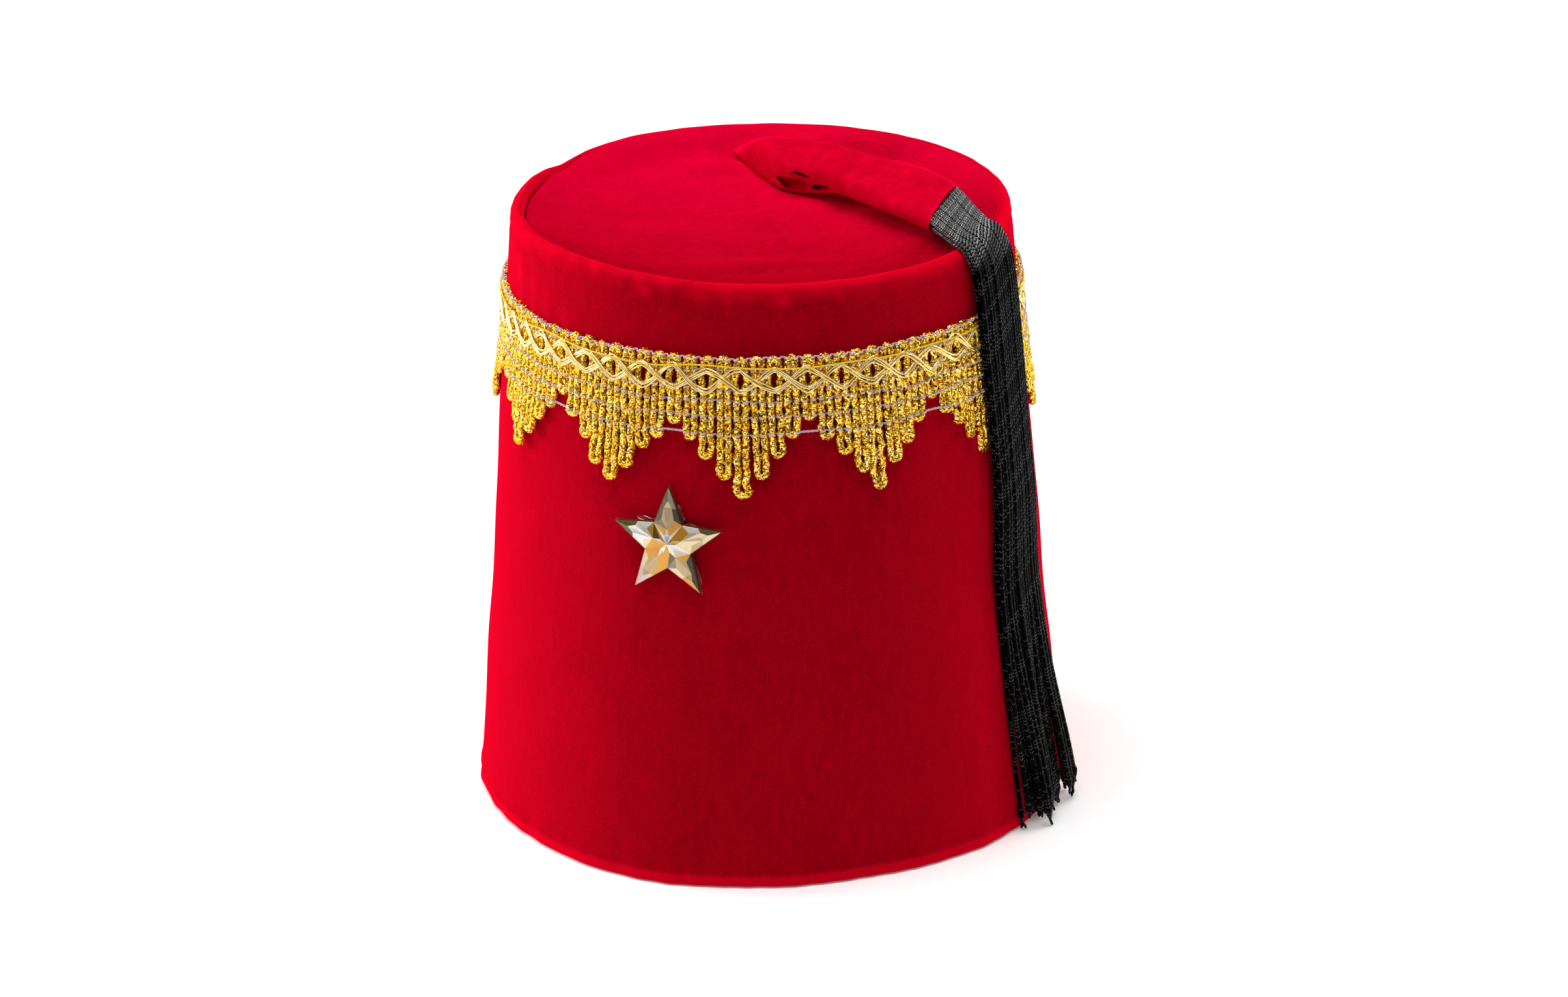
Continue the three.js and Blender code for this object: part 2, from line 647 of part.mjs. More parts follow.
function starStone() {
  const slope = (share) => share * (STAR_THICKNESS - STAR_GIRDLE - STAR_BEVEL);
  const outer = 1 - STAR_BEVEL / STAR_RADIUS;
  const tableShare = STAR_TABLE_DROP / slope(1);
  const rings = [
    { share: outer, height: 0 },
    { share: 1, height: STAR_BEVEL / 2 },
    { share: 1, height: STAR_GIRDLE },
    { share: outer, height: STAR_GIRDLE + STAR_BEVEL },
    { share: outer * tableShare, height: STAR_THICKNESS - STAR_TABLE_DROP },
  ];
  const corners = STAR_POINTS * 2;
  const positions = [0, 0, rings[0].height];
  for (const { share, height } of rings) {
    for (let i = 0; i < corners; i += 1) {
      const angle = (i * Math.PI) / STAR_POINTS;
      const reach = STAR_RADIUS * share * (i % 2 === 0 ? 1 : STAR_INNER_SHARE);
      positions.push(reach * Math.sin(angle), reach * Math.cos(angle), height);
    }
  }
  positions.push(0, 0, rings.at(-1).height);
  const indices = [];
  const top = positions.length / 3 - 1;
  for (let i = 0; i < corners; i += 1) {
    const next = (i + 1) % corners;
    indices.push(0, 1 + i, 1 + next);
    indices.push(top, top - corners + next, top - corners + i);
    for (let ring = 0; ring < rings.length - 1; ring += 1) {
      const low = 1 + ring * corners;
      const high = low + corners;
      if (i % 2 === 0) {
        indices.push(low + i, high + i, low + next, high + i, high + next, low + next);
      } else {
        indices.push(low + i, high + next, low + next, low + i, high + i, high + next);
      }
    }
  }
  const geometry = new THREE.BufferGeometry();
  geometry.setAttribute("position", new THREE.Float32BufferAttribute(positions, 3));
  geometry.setIndex(indices);
  return geometry;
}

// Stands the star on the wall, leaning back as the wall does.
function placeStar(mesh) {
  const height = TRIM_BOTTOM - STAR_DROP;
  const lean = Math.atan2(HEM_RADIUS - RIM_RADIUS, HAT_HEIGHT);
  const radius = wallRadius(STAR_AZIMUTH, height) + SEAM_GAP / Math.cos(lean);
  mesh.position.copy(around(STAR_AZIMUTH, radius, height));
  mesh.rotation.order = "ZXY";
  mesh.rotation.z = degToRad(STAR_AZIMUTH);
  mesh.rotation.x = Math.PI / 2 - lean;
}

function addPiece(group, name, geometry, look) {
  geometry.computeVertexNormals();
  const mesh = new THREE.Mesh(geometry, new THREE.MeshStandardMaterial(look));
  mesh.name = name;
  group.add(mesh);
  return mesh;
}

const VELVET = { color: 0xa80018, roughness: 0.9, metalness: 0 };
const CROWN_VELVET = { color: 0xc4001f, roughness: 0.9, metalness: 0 };
const BLACK_CORD = { color: 0x101012, roughness: 0.45, metalness: 0 };
const GOLD_YARN = { color: 0xd9a520, roughness: 0.35, metalness: 0.8 };
const CUT_STONE = { color: 0xe8cf8a, roughness: 0.05, metalness: 0.3 };

const group = new THREE.Group();
addPiece(group, "side_wall", sideWall(), VELVET);
addPiece(group, "crown_top", crown(), CROWN_VELVET);
addPiece(group, "tassel_sleeve", sleeve(), CROWN_VELVET);
addPiece(group, "tassel", tassel(), BLACK_CORD);
addPiece(group, "gold_trim", trim(), GOLD_YARN);
placeStar(addPiece(group, "star_stone", starStone(), CUT_STONE));

// The origin is the middle of the box round the hat, on the floor.
const box = new THREE.Box3().setFromObject(group, true);
const centre = box.getCenter(new THREE.Vector3());
group.position.set(-centre.x, -centre.y, -box.min.z);

export default group;
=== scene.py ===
"""Dresses a red velvet fez: velvet wall, crown and sleeve, black corded tassel, gold loop trim, star.

The forms are worked out in millimetres round the hat's own axis, with the front facing -Y, and are
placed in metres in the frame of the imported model. An azimuth turns from the front towards +X.
"""
import logging
import math
from dataclasses import dataclass
from enum import Enum
from typing import Optional, Sequence

import bpy
import numpy as np
from mathutils import Matrix, Vector


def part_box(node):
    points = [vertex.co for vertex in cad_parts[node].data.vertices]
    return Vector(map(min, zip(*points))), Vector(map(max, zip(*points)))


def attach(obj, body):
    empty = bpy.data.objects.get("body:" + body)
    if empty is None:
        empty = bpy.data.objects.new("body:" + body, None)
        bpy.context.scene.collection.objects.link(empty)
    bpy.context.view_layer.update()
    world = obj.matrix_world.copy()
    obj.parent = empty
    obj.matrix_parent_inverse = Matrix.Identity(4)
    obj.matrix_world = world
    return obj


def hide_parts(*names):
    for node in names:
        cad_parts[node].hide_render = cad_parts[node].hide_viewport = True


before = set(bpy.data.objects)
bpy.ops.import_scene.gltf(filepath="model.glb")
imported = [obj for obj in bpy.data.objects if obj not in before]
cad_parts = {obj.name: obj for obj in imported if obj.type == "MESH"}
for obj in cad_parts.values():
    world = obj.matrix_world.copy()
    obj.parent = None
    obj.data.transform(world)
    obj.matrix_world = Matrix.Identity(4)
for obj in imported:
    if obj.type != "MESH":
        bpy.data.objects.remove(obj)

LOG = logging.getLogger("fez")
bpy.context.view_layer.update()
BODY = "root"
MM = 0.001
Array = np.ndarray
Piece = bpy.types.Object
Mesh = bpy.types.Mesh
Material = bpy.types.Material
Tree = bpy.types.NodeTree
Node = bpy.types.Node
Socket = bpy.types.NodeSocket
Colour = tuple[float, float, float]


# Shared arithmetic


def mix(low: Array, high: Array, share: Array) -> Array:
    """Returns the value between low and high at a share of the way."""
    return low + (high - low) * share


def smooth(value: Array, low: float, high: float) -> Array:
    """Returns a soft step from 0 at low to 1 at high."""
    share = np.clip((np.asarray(value, float) - low) / (high - low), 0.0, 1.0)
    return share * share * (3.0 - 2.0 * share)


def bell(value: Array, middle: float, width: float) -> Array:
    """Returns a soft bump of height 1 round a middle."""
    return np.exp(-(((np.asarray(value, float) - middle) / width) ** 2))


def unit(vectors: Array) -> Array:
    """Returns the vectors at length 1."""
    length = np.linalg.norm(vectors, axis=-1, keepdims=True)
    return vectors / np.maximum(length, 1e-12)


def around(azimuth: Array, radius: Array, height: Array) -> Array:
    """Returns points round the hat's axis.

    Args:
        azimuth: Degrees from the front towards +X.
        radius: Distance from the axis.
        height: Height above the floor.

    Returns:
        An array of points whose last axis holds x, y and z.
    """
    turn = np.radians(azimuth)
    return np.stack(np.broadcast_arrays(radius * np.sin(turn), -radius * np.cos(turn), height), -1)


def azimuth_of(right: Array, back: Array) -> Array:
    """Returns the azimuth of a point, in degrees."""
    return np.degrees(np.arctan2(right, -np.asarray(back, float)))


@dataclass(frozen=True)
class Ripple:
    """A smooth, repeatable unevenness made of a few sine waves in three directions.

    Attributes:
        size: Length of its longest waves, in the units of the points.
        seed: Start of the random phases and directions.
        waves: Number of sine waves.
    """

    size: float
    seed: int
    waves: int = 9

    def __call__(self, points: Array) -> Array:
        """Returns the unevenness, about -1 to 1, at points given by their last axis.

        Args:
            points: The points, in the unit of the size.

        Returns:
            The unevenness at each point.
        """
        chance = np.random.default_rng(self.seed)
        points = np.asarray(points, float)
        total = np.zeros(points.shape[:-1])
        for _ in range(self.waves):
            way = unit(chance.normal(size=points.shape[-1]))
            pitch = self.size * chance.uniform(0.35, 1.0)
            total = total + np.sin(points @ way * (2 * math.pi / pitch) + chance.uniform(0, 6.28))
        return total / math.sqrt(self.waves)


class SmoothTable:
    """A smooth curve through the rows of a small table, read by its first column."""

    def __init__(self, rows: Sequence[Sequence[float]]) -> None:
        """Keeps the rows' keys and values."""
        table = np.array(rows, float)
        self.keys, self.values = table[:, 0], table[:, 1:]

    def __call__(self, at: Array) -> Array:
        """Returns the columns at each key, on a new last axis.

        Args:
            at: One key or an array of keys.

        Returns:
            The values of all columns after the first.
        """
        at = np.clip(np.asarray(at, float), self.keys[0], self.keys[-1])
        last = len(self.keys) - 1
        i = np.clip(np.searchsorted(self.keys, at, side="right"), 1, last)
        start, end = self.keys[i - 1], self.keys[i]
        step = end - start
        before = np.where(i > 1, self.keys[np.maximum(i - 2, 0)], 2 * start - end)
        after = np.where(i < last, self.keys[np.minimum(i + 1, last)], 2 * end - start)
        value_before = np.where((i > 1)[..., None], self.values[np.maximum(i - 2, 0)], self.values[i])
        value_after = np.where(
            (i < last)[..., None], self.values[np.minimum(i + 1, last)], self.values[i - 1]
        )
        p = ((at - start) / step)[..., None]
        low = (0.5 * step / (start - before))[..., None]
        high = (0.5 * step / (after - end))[..., None]
        return (
            value_before * (-low * p**3 + 2 * low * p**2 - low * p)
            + self.values[i - 1] * ((1 + low) * p**3 + (-1.5 - 2 * low) * p**2 + (low - 0.5) * p + 1)
            + self.values[i] * ((-1 - high) * p**3 + (1.5 + high) * p**2 + 0.5 * p)
            + value_after * (high * p**3 - high * p**2)
        )


def through(points: Array, count: int) -> Array:
    """Returns evenly spread points on a smooth curve through a few corner points.

    Args:
        points: The corner points, in order.
        count: Number of points of the curve.

    Returns:
        An array of count points.
    """
    gaps = np.sqrt(np.linalg.norm(np.diff(points, axis=0), axis=1))
    keys = np.concatenate([[0.0], np.cumsum(gaps)])
    slopes = np.zeros_like(points)
    inner = np.diff(points, axis=0) / gaps[:, None]
    weight = (gaps[:-1] / (gaps[:-1] + gaps[1:]))[:, None]
    slopes[1:-1] = inner[:-1] * (1 - weight) + inner[1:] * weight
    slopes[0], slopes[-1] = inner[0], inner[-1]
    at = np.linspace(0, keys[-1], count * 4)
    i = np.clip(np.searchsorted(keys, at, side="right") - 1, 0, len(gaps) - 1)
    t = ((at - keys[i]) / gaps[i])[:, None]
    span = gaps[i][:, None]
    curve = (
        points[i] * (2 * t**3 - 3 * t**2 + 1)
        + slopes[i] * span * (t**3 - 2 * t**2 + t)
        + points[i + 1] * (3 * t**2 - 2 * t**3)
        + slopes[i + 1] * span * (t**3 - t**2)
    )
    run = np.concatenate([[0.0], np.cumsum(np.linalg.norm(np.diff(curve, axis=0), axis=1))])
    even = np.linspace(0, run[-1], count)
    return np.stack([np.interp(even, run, curve[:, axis]) for axis in range(3)], -1)


# The form that the pieces share


@dataclass(frozen=True)
class HatForm:
    """Sizes and surfaces of the hat in millimetres, the same as the solid model's."""

    seam_gap: float = 0.3
    height: float = 190.7
    hem_radius: float = 93.0
    rim_radius: float = 77.25
    wall_thickness: float = 3.0
    rim_roll_width: float = 4.4
    rim_roll_depth: float = 5.6
    hem_roll_width: float = 4.2
    hem_roll_height: float = 5.5
    crown_thickness: float = 2.0
    crown_drop: float = 2.2
    crown_sag: float = 8.5
    sleeve_height: float = 8.8
    sleeve_pocket: float = 11.0
    sleeve_cloth: float = 1.6
    trim_drop: float = 22.2
    trim_thickness: float = 1.9
    header_height: float = 10.8
    fringe_length: float = 31.2
    trim_flare: float = 2.0
    tassel_thickness: float = 3.2
    tip_clearance: float = 1.4
    tassel_levels: int = 14

    # Azimuth and height of the rim's waves, in widths of its roll
    RIM_WAVE = SmoothTable([
        (-180, 0), (-134, 0.02), (-125, -0.22), (-116, 0.02), (-80, 0.14), (-45, 0.36),
        (-10, 0.04), (25, -0.12), (45, -0.2), (80, -0.05), (130, 0.06), (180, 0),
    ])
    # Azimuth and depth of the hem's waves, in shares of its radius
    HEM_WAVE = SmoothTable([
        (-180, 0), (-120, 0.004), (-60, -0.003), (-25, 0.018), (-3, -0.002), (20, -0.013),
        (45, 0.005), (110, -0.003), (180, 0),
    ])
    # Right, back, turn, length, width and rise of each soft fold of the crown
    CROWN_FOLDS = (
        (0.3, 0.84, -12, 0.3, 0.1, 0.75),
        (0.6, 0.5, -30, 0.22, 0.05, 0.14),
        (0.1, -0.42, 4, 0.5, 0.09, 0.12),
        (-0.22, 0.72, 10, 0.14, 0.05, 0.2),
        (0.28, 0.28, -50, 0.2, 0.12, 0.2),
    )
    # Along, near right and back, far right and back, carried, near, middle and far height
    SLEEVE_SECTIONS = SmoothTable([
        (0, 0.083, 0.465, -0.112, 0.79, 0, 0.16, 0.2, 0.16),
        (0.03, 0.106, 0.431, -0.075, 0.776, 0, 0.75, 0.72, 0.5),
        (0.08, 0.13, 0.392, -0.01, 0.745, 0, 1.05, 1.1, 0.98),
        (0.16, 0.225, 0.307, 0.085, 0.69, 0.05, 1.02, 1.26, 1.34),
        (0.32, 0.31, 0.172, 0.275, 0.56, 0.44, 0.8, 1.1, 1.14),
        (0.52, 0.415, -0.008, 0.49, 0.375, 0.65, 0.7, 0.95, 0.86),
        (0.76, 0.54, -0.233, 0.668, 0.155, 0.83, 0.7, 0.9, 0.98),
        (1, 0.656, -0.425, 0.79, -0.01, 0.87, 0.72, 0.84, 0.78),
    ])
    # Rise, near and far azimuth of the hanging cords
    TASSEL_HANG = SmoothTable([
        (0, 55.4, 75), (0.09, 54.7, 73.4), (0.23, 53.6, 71.2), (0.36, 52.9, 70), (0.5, 53, 68.6),
        (0.6, 53.5, 67.8), (0.75, 53.3, 67.6), (0.9, 52.6, 67.5), (1, 51.9, 67.3),
    ])

    @property
    def crown_radius(self) -> float:
        """Radius of the crown inside the rim's roll."""
        return self.rim_radius - self.rim_roll_width - self.seam_gap

    @property
    def trim_top(self) -> float:
        """Height of the trim's upper edge, without its picots."""
        return self.height - self.trim_drop

    @property
    def header_bottom(self) -> float:
        """Height where the fringe leaves the header."""
        return self.trim_top - self.header_height

    @property
    def trim_bottom(self) -> float:
        """Height of the longest loops' tips."""
        return self.header_bottom - self.fringe_length

    @property
    def lean(self) -> float:
        """Angle by which the wall leans back."""
        return math.atan2(self.hem_radius - self.rim_radius, self.height)

    def rim_lift(self, azimuth: Array) -> Array:
        """Returns how far the rim stands above its mean height."""
        return self.rim_roll_width * self.RIM_WAVE(azimuth)[..., 0]

    def wall_radius(self, azimuth: Array, height: Array) -> Array:
        """Returns the outer radius of the wall.

        Args:
            azimuth: Degrees from the front towards +X.
            height: Height above the floor.

        Returns:
            The radius in millimetres.
        """
        rise = np.clip(np.asarray(height, float) / self.height, 0, 1)
        wave = self.hem_radius * self.HEM_WAVE(azimuth)[..., 0] * (1 - rise) ** 2
        return mix(self.hem_radius, self.rim_radius, rise) + wave

    def crown_top(self, right: Array, back: Array) -> Array:
        """Returns the height of the crown's upper face.

        Args:
            right: Place to the right of the axis.
            back: Place behind the axis.

        Returns:
            The height in millimetres.
        """
        right, back = np.asarray(right, float), np.asarray(back, float)
        share = np.hypot(right, back) / self.crown_radius
        edge = self.height - self.crown_drop + self.rim_lift(azimuth_of(right, back)) * share**2
        folds = np.zeros_like(share)
        for place_right, place_back, turn, length, width, rise in self.CROWN_FOLDS:
            angle = math.radians(turn)
            dx, dy = right / self.crown_radius - place_right, back / self.crown_radius - place_back
            along = (dx * math.cos(angle) + dy * math.sin(angle)) / length
            across = (dy * math.cos(angle) - dx * math.sin(angle)) / width
            folds = folds + self.crown_sag * rise * np.exp(-(along**2) - across**2)
        return edge - self.crown_sag * (1 - share**3) + folds * np.clip(1 - share**8, 0, 1)

    def flare(self, azimuth: Array, height: Array) -> Array:
        """Returns how far the fringe stands off the wall. The tassel presses it flat.

        Args:
            azimuth: Degrees from the front towards +X.
            height: Height above the floor.

        Returns:
            The distance in millimetres.
        """
        share = np.clip((self.header_bottom - height) / self.fringe_length, 0, 1)
        hang = self.TASSEL_HANG(np.asarray(height, float) / self.height)
        half = (hang[..., 1] - hang[..., 0]) / 2
        aside = np.abs(azimuth - hang[..., 0] - half)
        low, high = half * 1.3, half * 2
        press = np.clip((aside - low) / (high - low), 0, 1)
        return self.trim_flare * share**2 * press * press * (3 - 2 * press)

    def sleeve_point(self, along: Array, across: Array, up: Array) -> Array:
        """Returns points in the sleeve.

        Args:
            along: Share of the way from the fold to the mouth.
            across: Share of the way from the near to the far edge.
            up: Share of the way from the lower to the upper face.

        Returns:
            The points, with x, y and z on the last axis.
        """
        along, across, up = np.broadcast_arrays(*[np.asarray(v, float) for v in (along, across, up)])
        section = np.moveaxis(self.SLEEVE_SECTIONS(along), -1, 0)
        near_right, near_back, far_right, far_back, carried, near, middle, far = section
        right = self.rim_radius * mix(near_right, far_right, across)
        back = self.rim_radius * mix(near_back, far_back, across)
        rim = self.height + self.rim_lift(azimuth_of(right, back))
        floor = mix(self.crown_top(right, back), rim, carried)
        arch = 4 * across * (1 - across)
        height = self.sleeve_height * (mix(near, far, across) + arch * (middle - (near + far) / 2))
        return np.stack([right, back, floor + self.seam_gap + up * height], -1)

    @property
    def mouth_width(self) -> float:
        """Width of the sleeve's mouth."""
        return float(np.linalg.norm(self.sleeve_point(1, 0, 0) - self.sleeve_point(1, 1, 0)))

    @property
    def pocket_start(self) -> float:
        """Share of the sleeve's length where its pocket starts."""
        length = np.linalg.norm(self.sleeve_point(0, 0.5, 0) - self.sleeve_point(1, 0.5, 0))
        return 1 - self.sleeve_pocket / float(length)

    def tassel_stand_off(self, height: Array) -> Array:
        """Returns the distance of the tassel's middle from the wall.

        Args:
            height: Height above the floor.

        Returns:
            The distance in millimetres.
        """
        roll_bottom = self.height - self.rim_roll_depth
        level = (roll_bottom - self.tip_clearance) / self.tassel_levels
        upper = 1 - smooth(height, min(self.trim_top + level, roll_bottom), self.height)
        lower = smooth(height, self.trim_bottom - level - 40, self.trim_bottom - level)
        proud = (self.seam_gap + self.trim_thickness) * upper * lower
        return self.seam_gap + self.tassel_thickness / 2 + proud

    def cord_route(self, across: float) -> Array:
        """Returns the corner points of one line of cords, from the pocket over the rim to the floor.

        Args:
            across: Its share of the way from the near to the far edge.

        Returns:
            The points in millimetres.
        """
        side = (self.sleeve_cloth + self.seam_gap) / self.mouth_width
        in_sleeve = mix(side, 1 - side, across)
        start = self.pocket_start
        points = [self.sleeve_point(along, in_sleeve, 0.5) for along in (start, (start + 1) / 2, 1.0)]
        near, far = self.TASSEL_HANG(1.0)
        azimuth = mix(near, far, across)
        roll = self.rim_roll_width / 2
        bend = roll + self.seam_gap + self.tassel_thickness / 2
        for turn in (0, 35, 70):
            angle = math.radians(turn)
            radius = self.wall_radius(azimuth, self.height) - roll + bend * math.sin(angle)
            height = self.height - roll + bend * math.cos(angle) + self.rim_lift(azimuth)
            points.append(around(azimuth, radius, height))
        drop = self.height - self.rim_roll_depth - self.tip_clearance
        for i in range(self.tassel_levels + 1):
            height = self.tip_clearance + drop * (self.tassel_levels - i) / self.tassel_levels
            place = mix(*self.TASSEL_HANG(height / self.height), across)
            radius = self.wall_radius(place, height) + self.tassel_stand_off(height)
            points.append(around(place, radius, height))
        return np.array(points)


FORM = HatForm()


def axis_offset() -> Array:
    """Returns the place of the hat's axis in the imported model's frame, in metres."""
    low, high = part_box("crown_top")
    return np.array([(low.x + high.x) / 2, (low.y + high.y) / 2, 0.0])


AXIS = axis_offset()


# Meshes


def mesh_object(name: str, mesh: Mesh, material: Material) -> Piece:
    """Puts a mesh in the scene at the origin, with smooth faces.

    Args:
        name: Name of the piece.
        mesh: The mesh, already in place.
        material: Its finish.

    Returns:
        The new object.
    """
    mesh.polygons.foreach_set("use_smooth", np.ones(len(mesh.polygons), bool))
    mesh.materials.clear()
    mesh.materials.append(material)
    piece = bpy.data.objects.new(name, mesh)
    bpy.context.scene.collection.objects.link(piece)
    return piece


class ShellBuilder:
    """Collects grids and fans of points into one closed mesh with a UV map and an attribute of the nap's
    tone and painted light.
    """

    def __init__(self) -> None:
        """Starts empty."""
        self.points: list[Array] = []
        self.faces: list[Array] = []
        self.corners: list[Array] = []
        self.tone_and_painted_light: list[Array] = []
        self.count = 0

    def add_points(self, points: Array, tone_and_painted_light: Array) -> int:
        """Adds points in millimetres round the axis.

        Args:
            points: The points, with x, y and z on the last axis.
            tone_and_painted_light: Brightness of the nap at each point, with painted light and shade.

        Returns:
            The index of the first new point.
        """
        flat = np.asarray(points, float).reshape(-1, 3)
        self.points.append(flat)
        self.tone_and_painted_light.append(np.broadcast_to(tone_and_painted_light, points.shape[:-1]).reshape(-1))
        first, self.count = self.count, self.count + len(flat)
        return first

    def add_grid(
        self, points: Array, u: Array, v: Array, tone_and_painted_light: Array = 0.0,
        close: tuple[bool, bool] = (False, True),
    ) -> int:
        """Adds a grid, whose columns close into rings unless told otherwise.

        Args:
            points: Rows and columns of points.
            u: UV place of the columns, one more than them where they close.
            v: UV place of the rows, one more than them where they close.
            tone_and_painted_light: Brightness of the nap at each point, with painted light and shade.
            close: Whether the rows and the columns close.

        Returns:
            The index of the grid's first point.
        """
        rows, columns = points.shape[:2]
        first = self.add_points(points, tone_and_painted_light)
        spans = (rows if close[0] else rows - 1, columns if close[1] else columns - 1)
        i, j = (index.ravel() for index in np.indices(spans))
        corners = [(i, j), (i, j + 1), (i + 1, j + 1), (i + 1, j)]
        numbers = [first + (a % rows) * columns + b % columns for a, b in corners]
        self.faces.append(np.stack(numbers, -1))
        self.corners.append(np.stack([np.stack([u[b], v[a]], -1) for a, b in corners], 1))
        return first

    def add_fan(self, ring: int, columns: int, centre: Array, uv: Array, flip: bool) -> None:
        """Closes a ring of points with a fan.

        Args:
            ring: Index of the ring's first point.
            columns: Number of its points.
            centre: The fan's middle point.
            uv: UV place of the fan.
            flip: Whether the fan faces the other way.
        """
        middle = self.add_points(np.asarray(centre, float).reshape(1, 3), 0.0)
        j = np.arange(columns)
        ends = [ring + (j + 1) % columns, ring + j]
        start, end = ends if flip else ends[::-1]
        self.faces.append(np.stack([np.full(columns, middle), start, end], -1))
        self.corners.append(np.broadcast_to(np.asarray(uv, float), (columns, 3, 2)))

    def build(self, name: str, material: Material) -> Piece:
        """Returns the piece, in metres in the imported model's frame.

        Args:
            name: Name of the piece.
            material: Its finish.

        Returns:
            The piece.
        """
        mesh = bpy.data.meshes.new(name)
        points = np.concatenate(self.points) * MM + AXIS
        faces = [face for block in self.faces for face in block.tolist()]
        mesh.from_pydata(points.tolist(), [], faces)
        uv = np.concatenate([block.reshape(-1, 2) for block in self.corners])
        mesh.uv_layers.new(name="UVMap").data.foreach_set("uv", uv.astype(np.float32).ravel())
        tone_and_painted_light = mesh.attributes.new("tone_and_painted_light", "FLOAT", "POINT")
        tone_and_painted_light.data.foreach_set("value", np.concatenate(self.tone_and_painted_light).astype(np.float32))
        mesh.validate()
        mesh.update()
        return mesh_object(name, mesh, material)


# Node trees


class Nodes:
    """A short way to add and join the nodes of one tree."""

    def __init__(self, tree: Tree) -> None:
        """Keeps the tree."""
        self.tree = tree

    def add(self, kind: str, settings: Optional[dict] = None, **inputs: object) -> Node:
        """Adds a node.

        Args:
            kind: The node's type.
            settings: Properties of the node.
            **inputs: Values or sockets by input name, or by "i" and a number.

        Returns:
            The node.
        """
        node = self.tree.nodes.new(kind)
        for key, value in (settings or {}).items():
            setattr(node, key, value)
        for key, value in inputs.items():
            numbered = key[0] == "i" and key[1:].isdigit()
            socket = node.inputs[int(key[1:])] if numbered else self.named(node, key.replace("_", " "))
            if isinstance(value, Socket):
                self.tree.links.new(value, socket)
            else:
                socket.default_value = value
        return node

    @staticmethod
    def named(node: Node, name: str) -> Socket:
        """Returns the enabled input whose name matches, whatever its capitals."""
        return next(s for s in node.inputs if s.name.lower() == name.lower() and s.enabled)

    def math(self, operation: str, *values: object) -> Socket:
        """Returns the result of a sum on numbers or sockets."""
        inputs = {f"i{i}": value for i, value in enumerate(values)}
        return self.add("ShaderNodeMath", {"operation": operation}, **inputs).outputs[0]

    def vectors(self, operation: str, **inputs: object) -> Socket:
        """Returns the result of a sum on vectors."""
        return self.add("ShaderNodeVectorMath", {"operation": operation}, **inputs).outputs[0]

    def split(self, vector: Socket) -> Sequence[Socket]:
        """Returns the three parts of a vector."""
        return self.add("ShaderNodeSeparateXYZ", None, vector=vector).outputs

    def joined(self, x: object, y: object, z: object = 0.0) -> Socket:
        """Returns a vector made of three numbers or sockets."""
        return self.add("ShaderNodeCombineXYZ", None, x=x, y=y, z=z).outputs[0]

    def attribute(self, name: str, output: str = "Fac") -> Socket:
        """Returns an attribute of the mesh."""
        return self.add("ShaderNodeAttribute", {"attribute_name": name}).outputs[output]

    def place(self) -> Socket:
        """Returns the place in the piece's own coordinates."""
        return self.add("ShaderNodeTexCoord").outputs["Object"]

    def noise(self, place: Socket, scale: object, detail: float = 2.0, roughness: float = 0.5) -> Socket:
        """Returns a smooth noise of about 0.3 to 0.7.

        Args:
            place: The point that it is read at.
            scale: Number of its waves to a metre.
            detail: Number of finer waves in it.
            roughness: Strength of the finer waves.

        Returns:
            The noise.
        """
        inputs = {"vector": place, "scale": scale, "detail": detail, "roughness": roughness}
        return self.add("ShaderNodeTexNoise", None, **inputs).outputs[0]

    def along_cord(self) -> tuple[Socket, Socket]:
        """Returns the angle round a cord and the length run along it."""
        parts = self.split(self.attribute("ring", "Vector"))
        return self.math("ARCTAN2", parts[1], parts[0]), parts[2]

    def colour(self, value: Socket, stops: Sequence[tuple[float, Colour]]) -> Socket:
        """Returns a colour read from a ramp of coloured stops.

        Args:
            value: Place on the ramp, from 0 to 1.
            stops: Place and colour of each stop.

        Returns:
            The colour.
        """
        node = self.add("ShaderNodeValToRGB", None, fac=value)
        while len(node.color_ramp.elements) < len(stops):
            node.color_ramp.elements.new(0.5)
        for element, (place, tint) in zip(node.color_ramp.elements, stops):
            element.position = place
            element.color = (*tint, 1)
        return node.outputs["Color"]

    def ramp(self, value: Socket, stops: Sequence[tuple[float, float]]) -> Socket:
        """Returns a value read from a ramp of grey stops."""
        return self.colour(value, [(place, (level, level, level)) for place, level in stops])

    def bump(self, height: Socket, depth: float, normal: Optional[Socket] = None) -> Socket:
        """Returns a normal raised by a height of 0 to 1 and a depth in metres.

        Args:
            height: The relief, from 0 to 1.
            depth: Height of a relief of 1, in metres.
            normal: The normal that it starts from, where that isn't the face's own.

        Returns:
            The normal.
        """
        inputs = {"height": height, "distance": depth, "strength": 1.0}
        if normal is not None:
            inputs["normal"] = normal
        return self.add("ShaderNodeBump", None, **inputs).outputs[0]

    def surface(self, **inputs: object) -> Node:
        """Returns the shader node with its inputs."""
        return self.add("ShaderNodeBsdfPrincipled", None, **inputs)

    def store(self, geometry: Socket, name: str, value: Socket, kind: str = "FLOAT_VECTOR") -> Socket:
        """Returns the geometry with a value stored on its points under a name.

        Args:
            geometry: The geometry.
            name: Name of the value.
            value: The value.
            kind: Its kind.

        Returns:
            The geometry.
        """
        settings = {"data_type": kind, "domain": "POINT"}
        inputs = {"geometry": geometry, "name": name, "value": value}
        return self.add("GeometryNodeStoreNamedAttribute", settings, **inputs).outputs[0]

    def stored(self, name: str, kind: str = "FLOAT_VECTOR") -> Socket:
        """Returns the value that is stored under a name."""
        return self.add("GeometryNodeInputNamedAttribute", {"data_type": kind}, name=name).outputs[0]

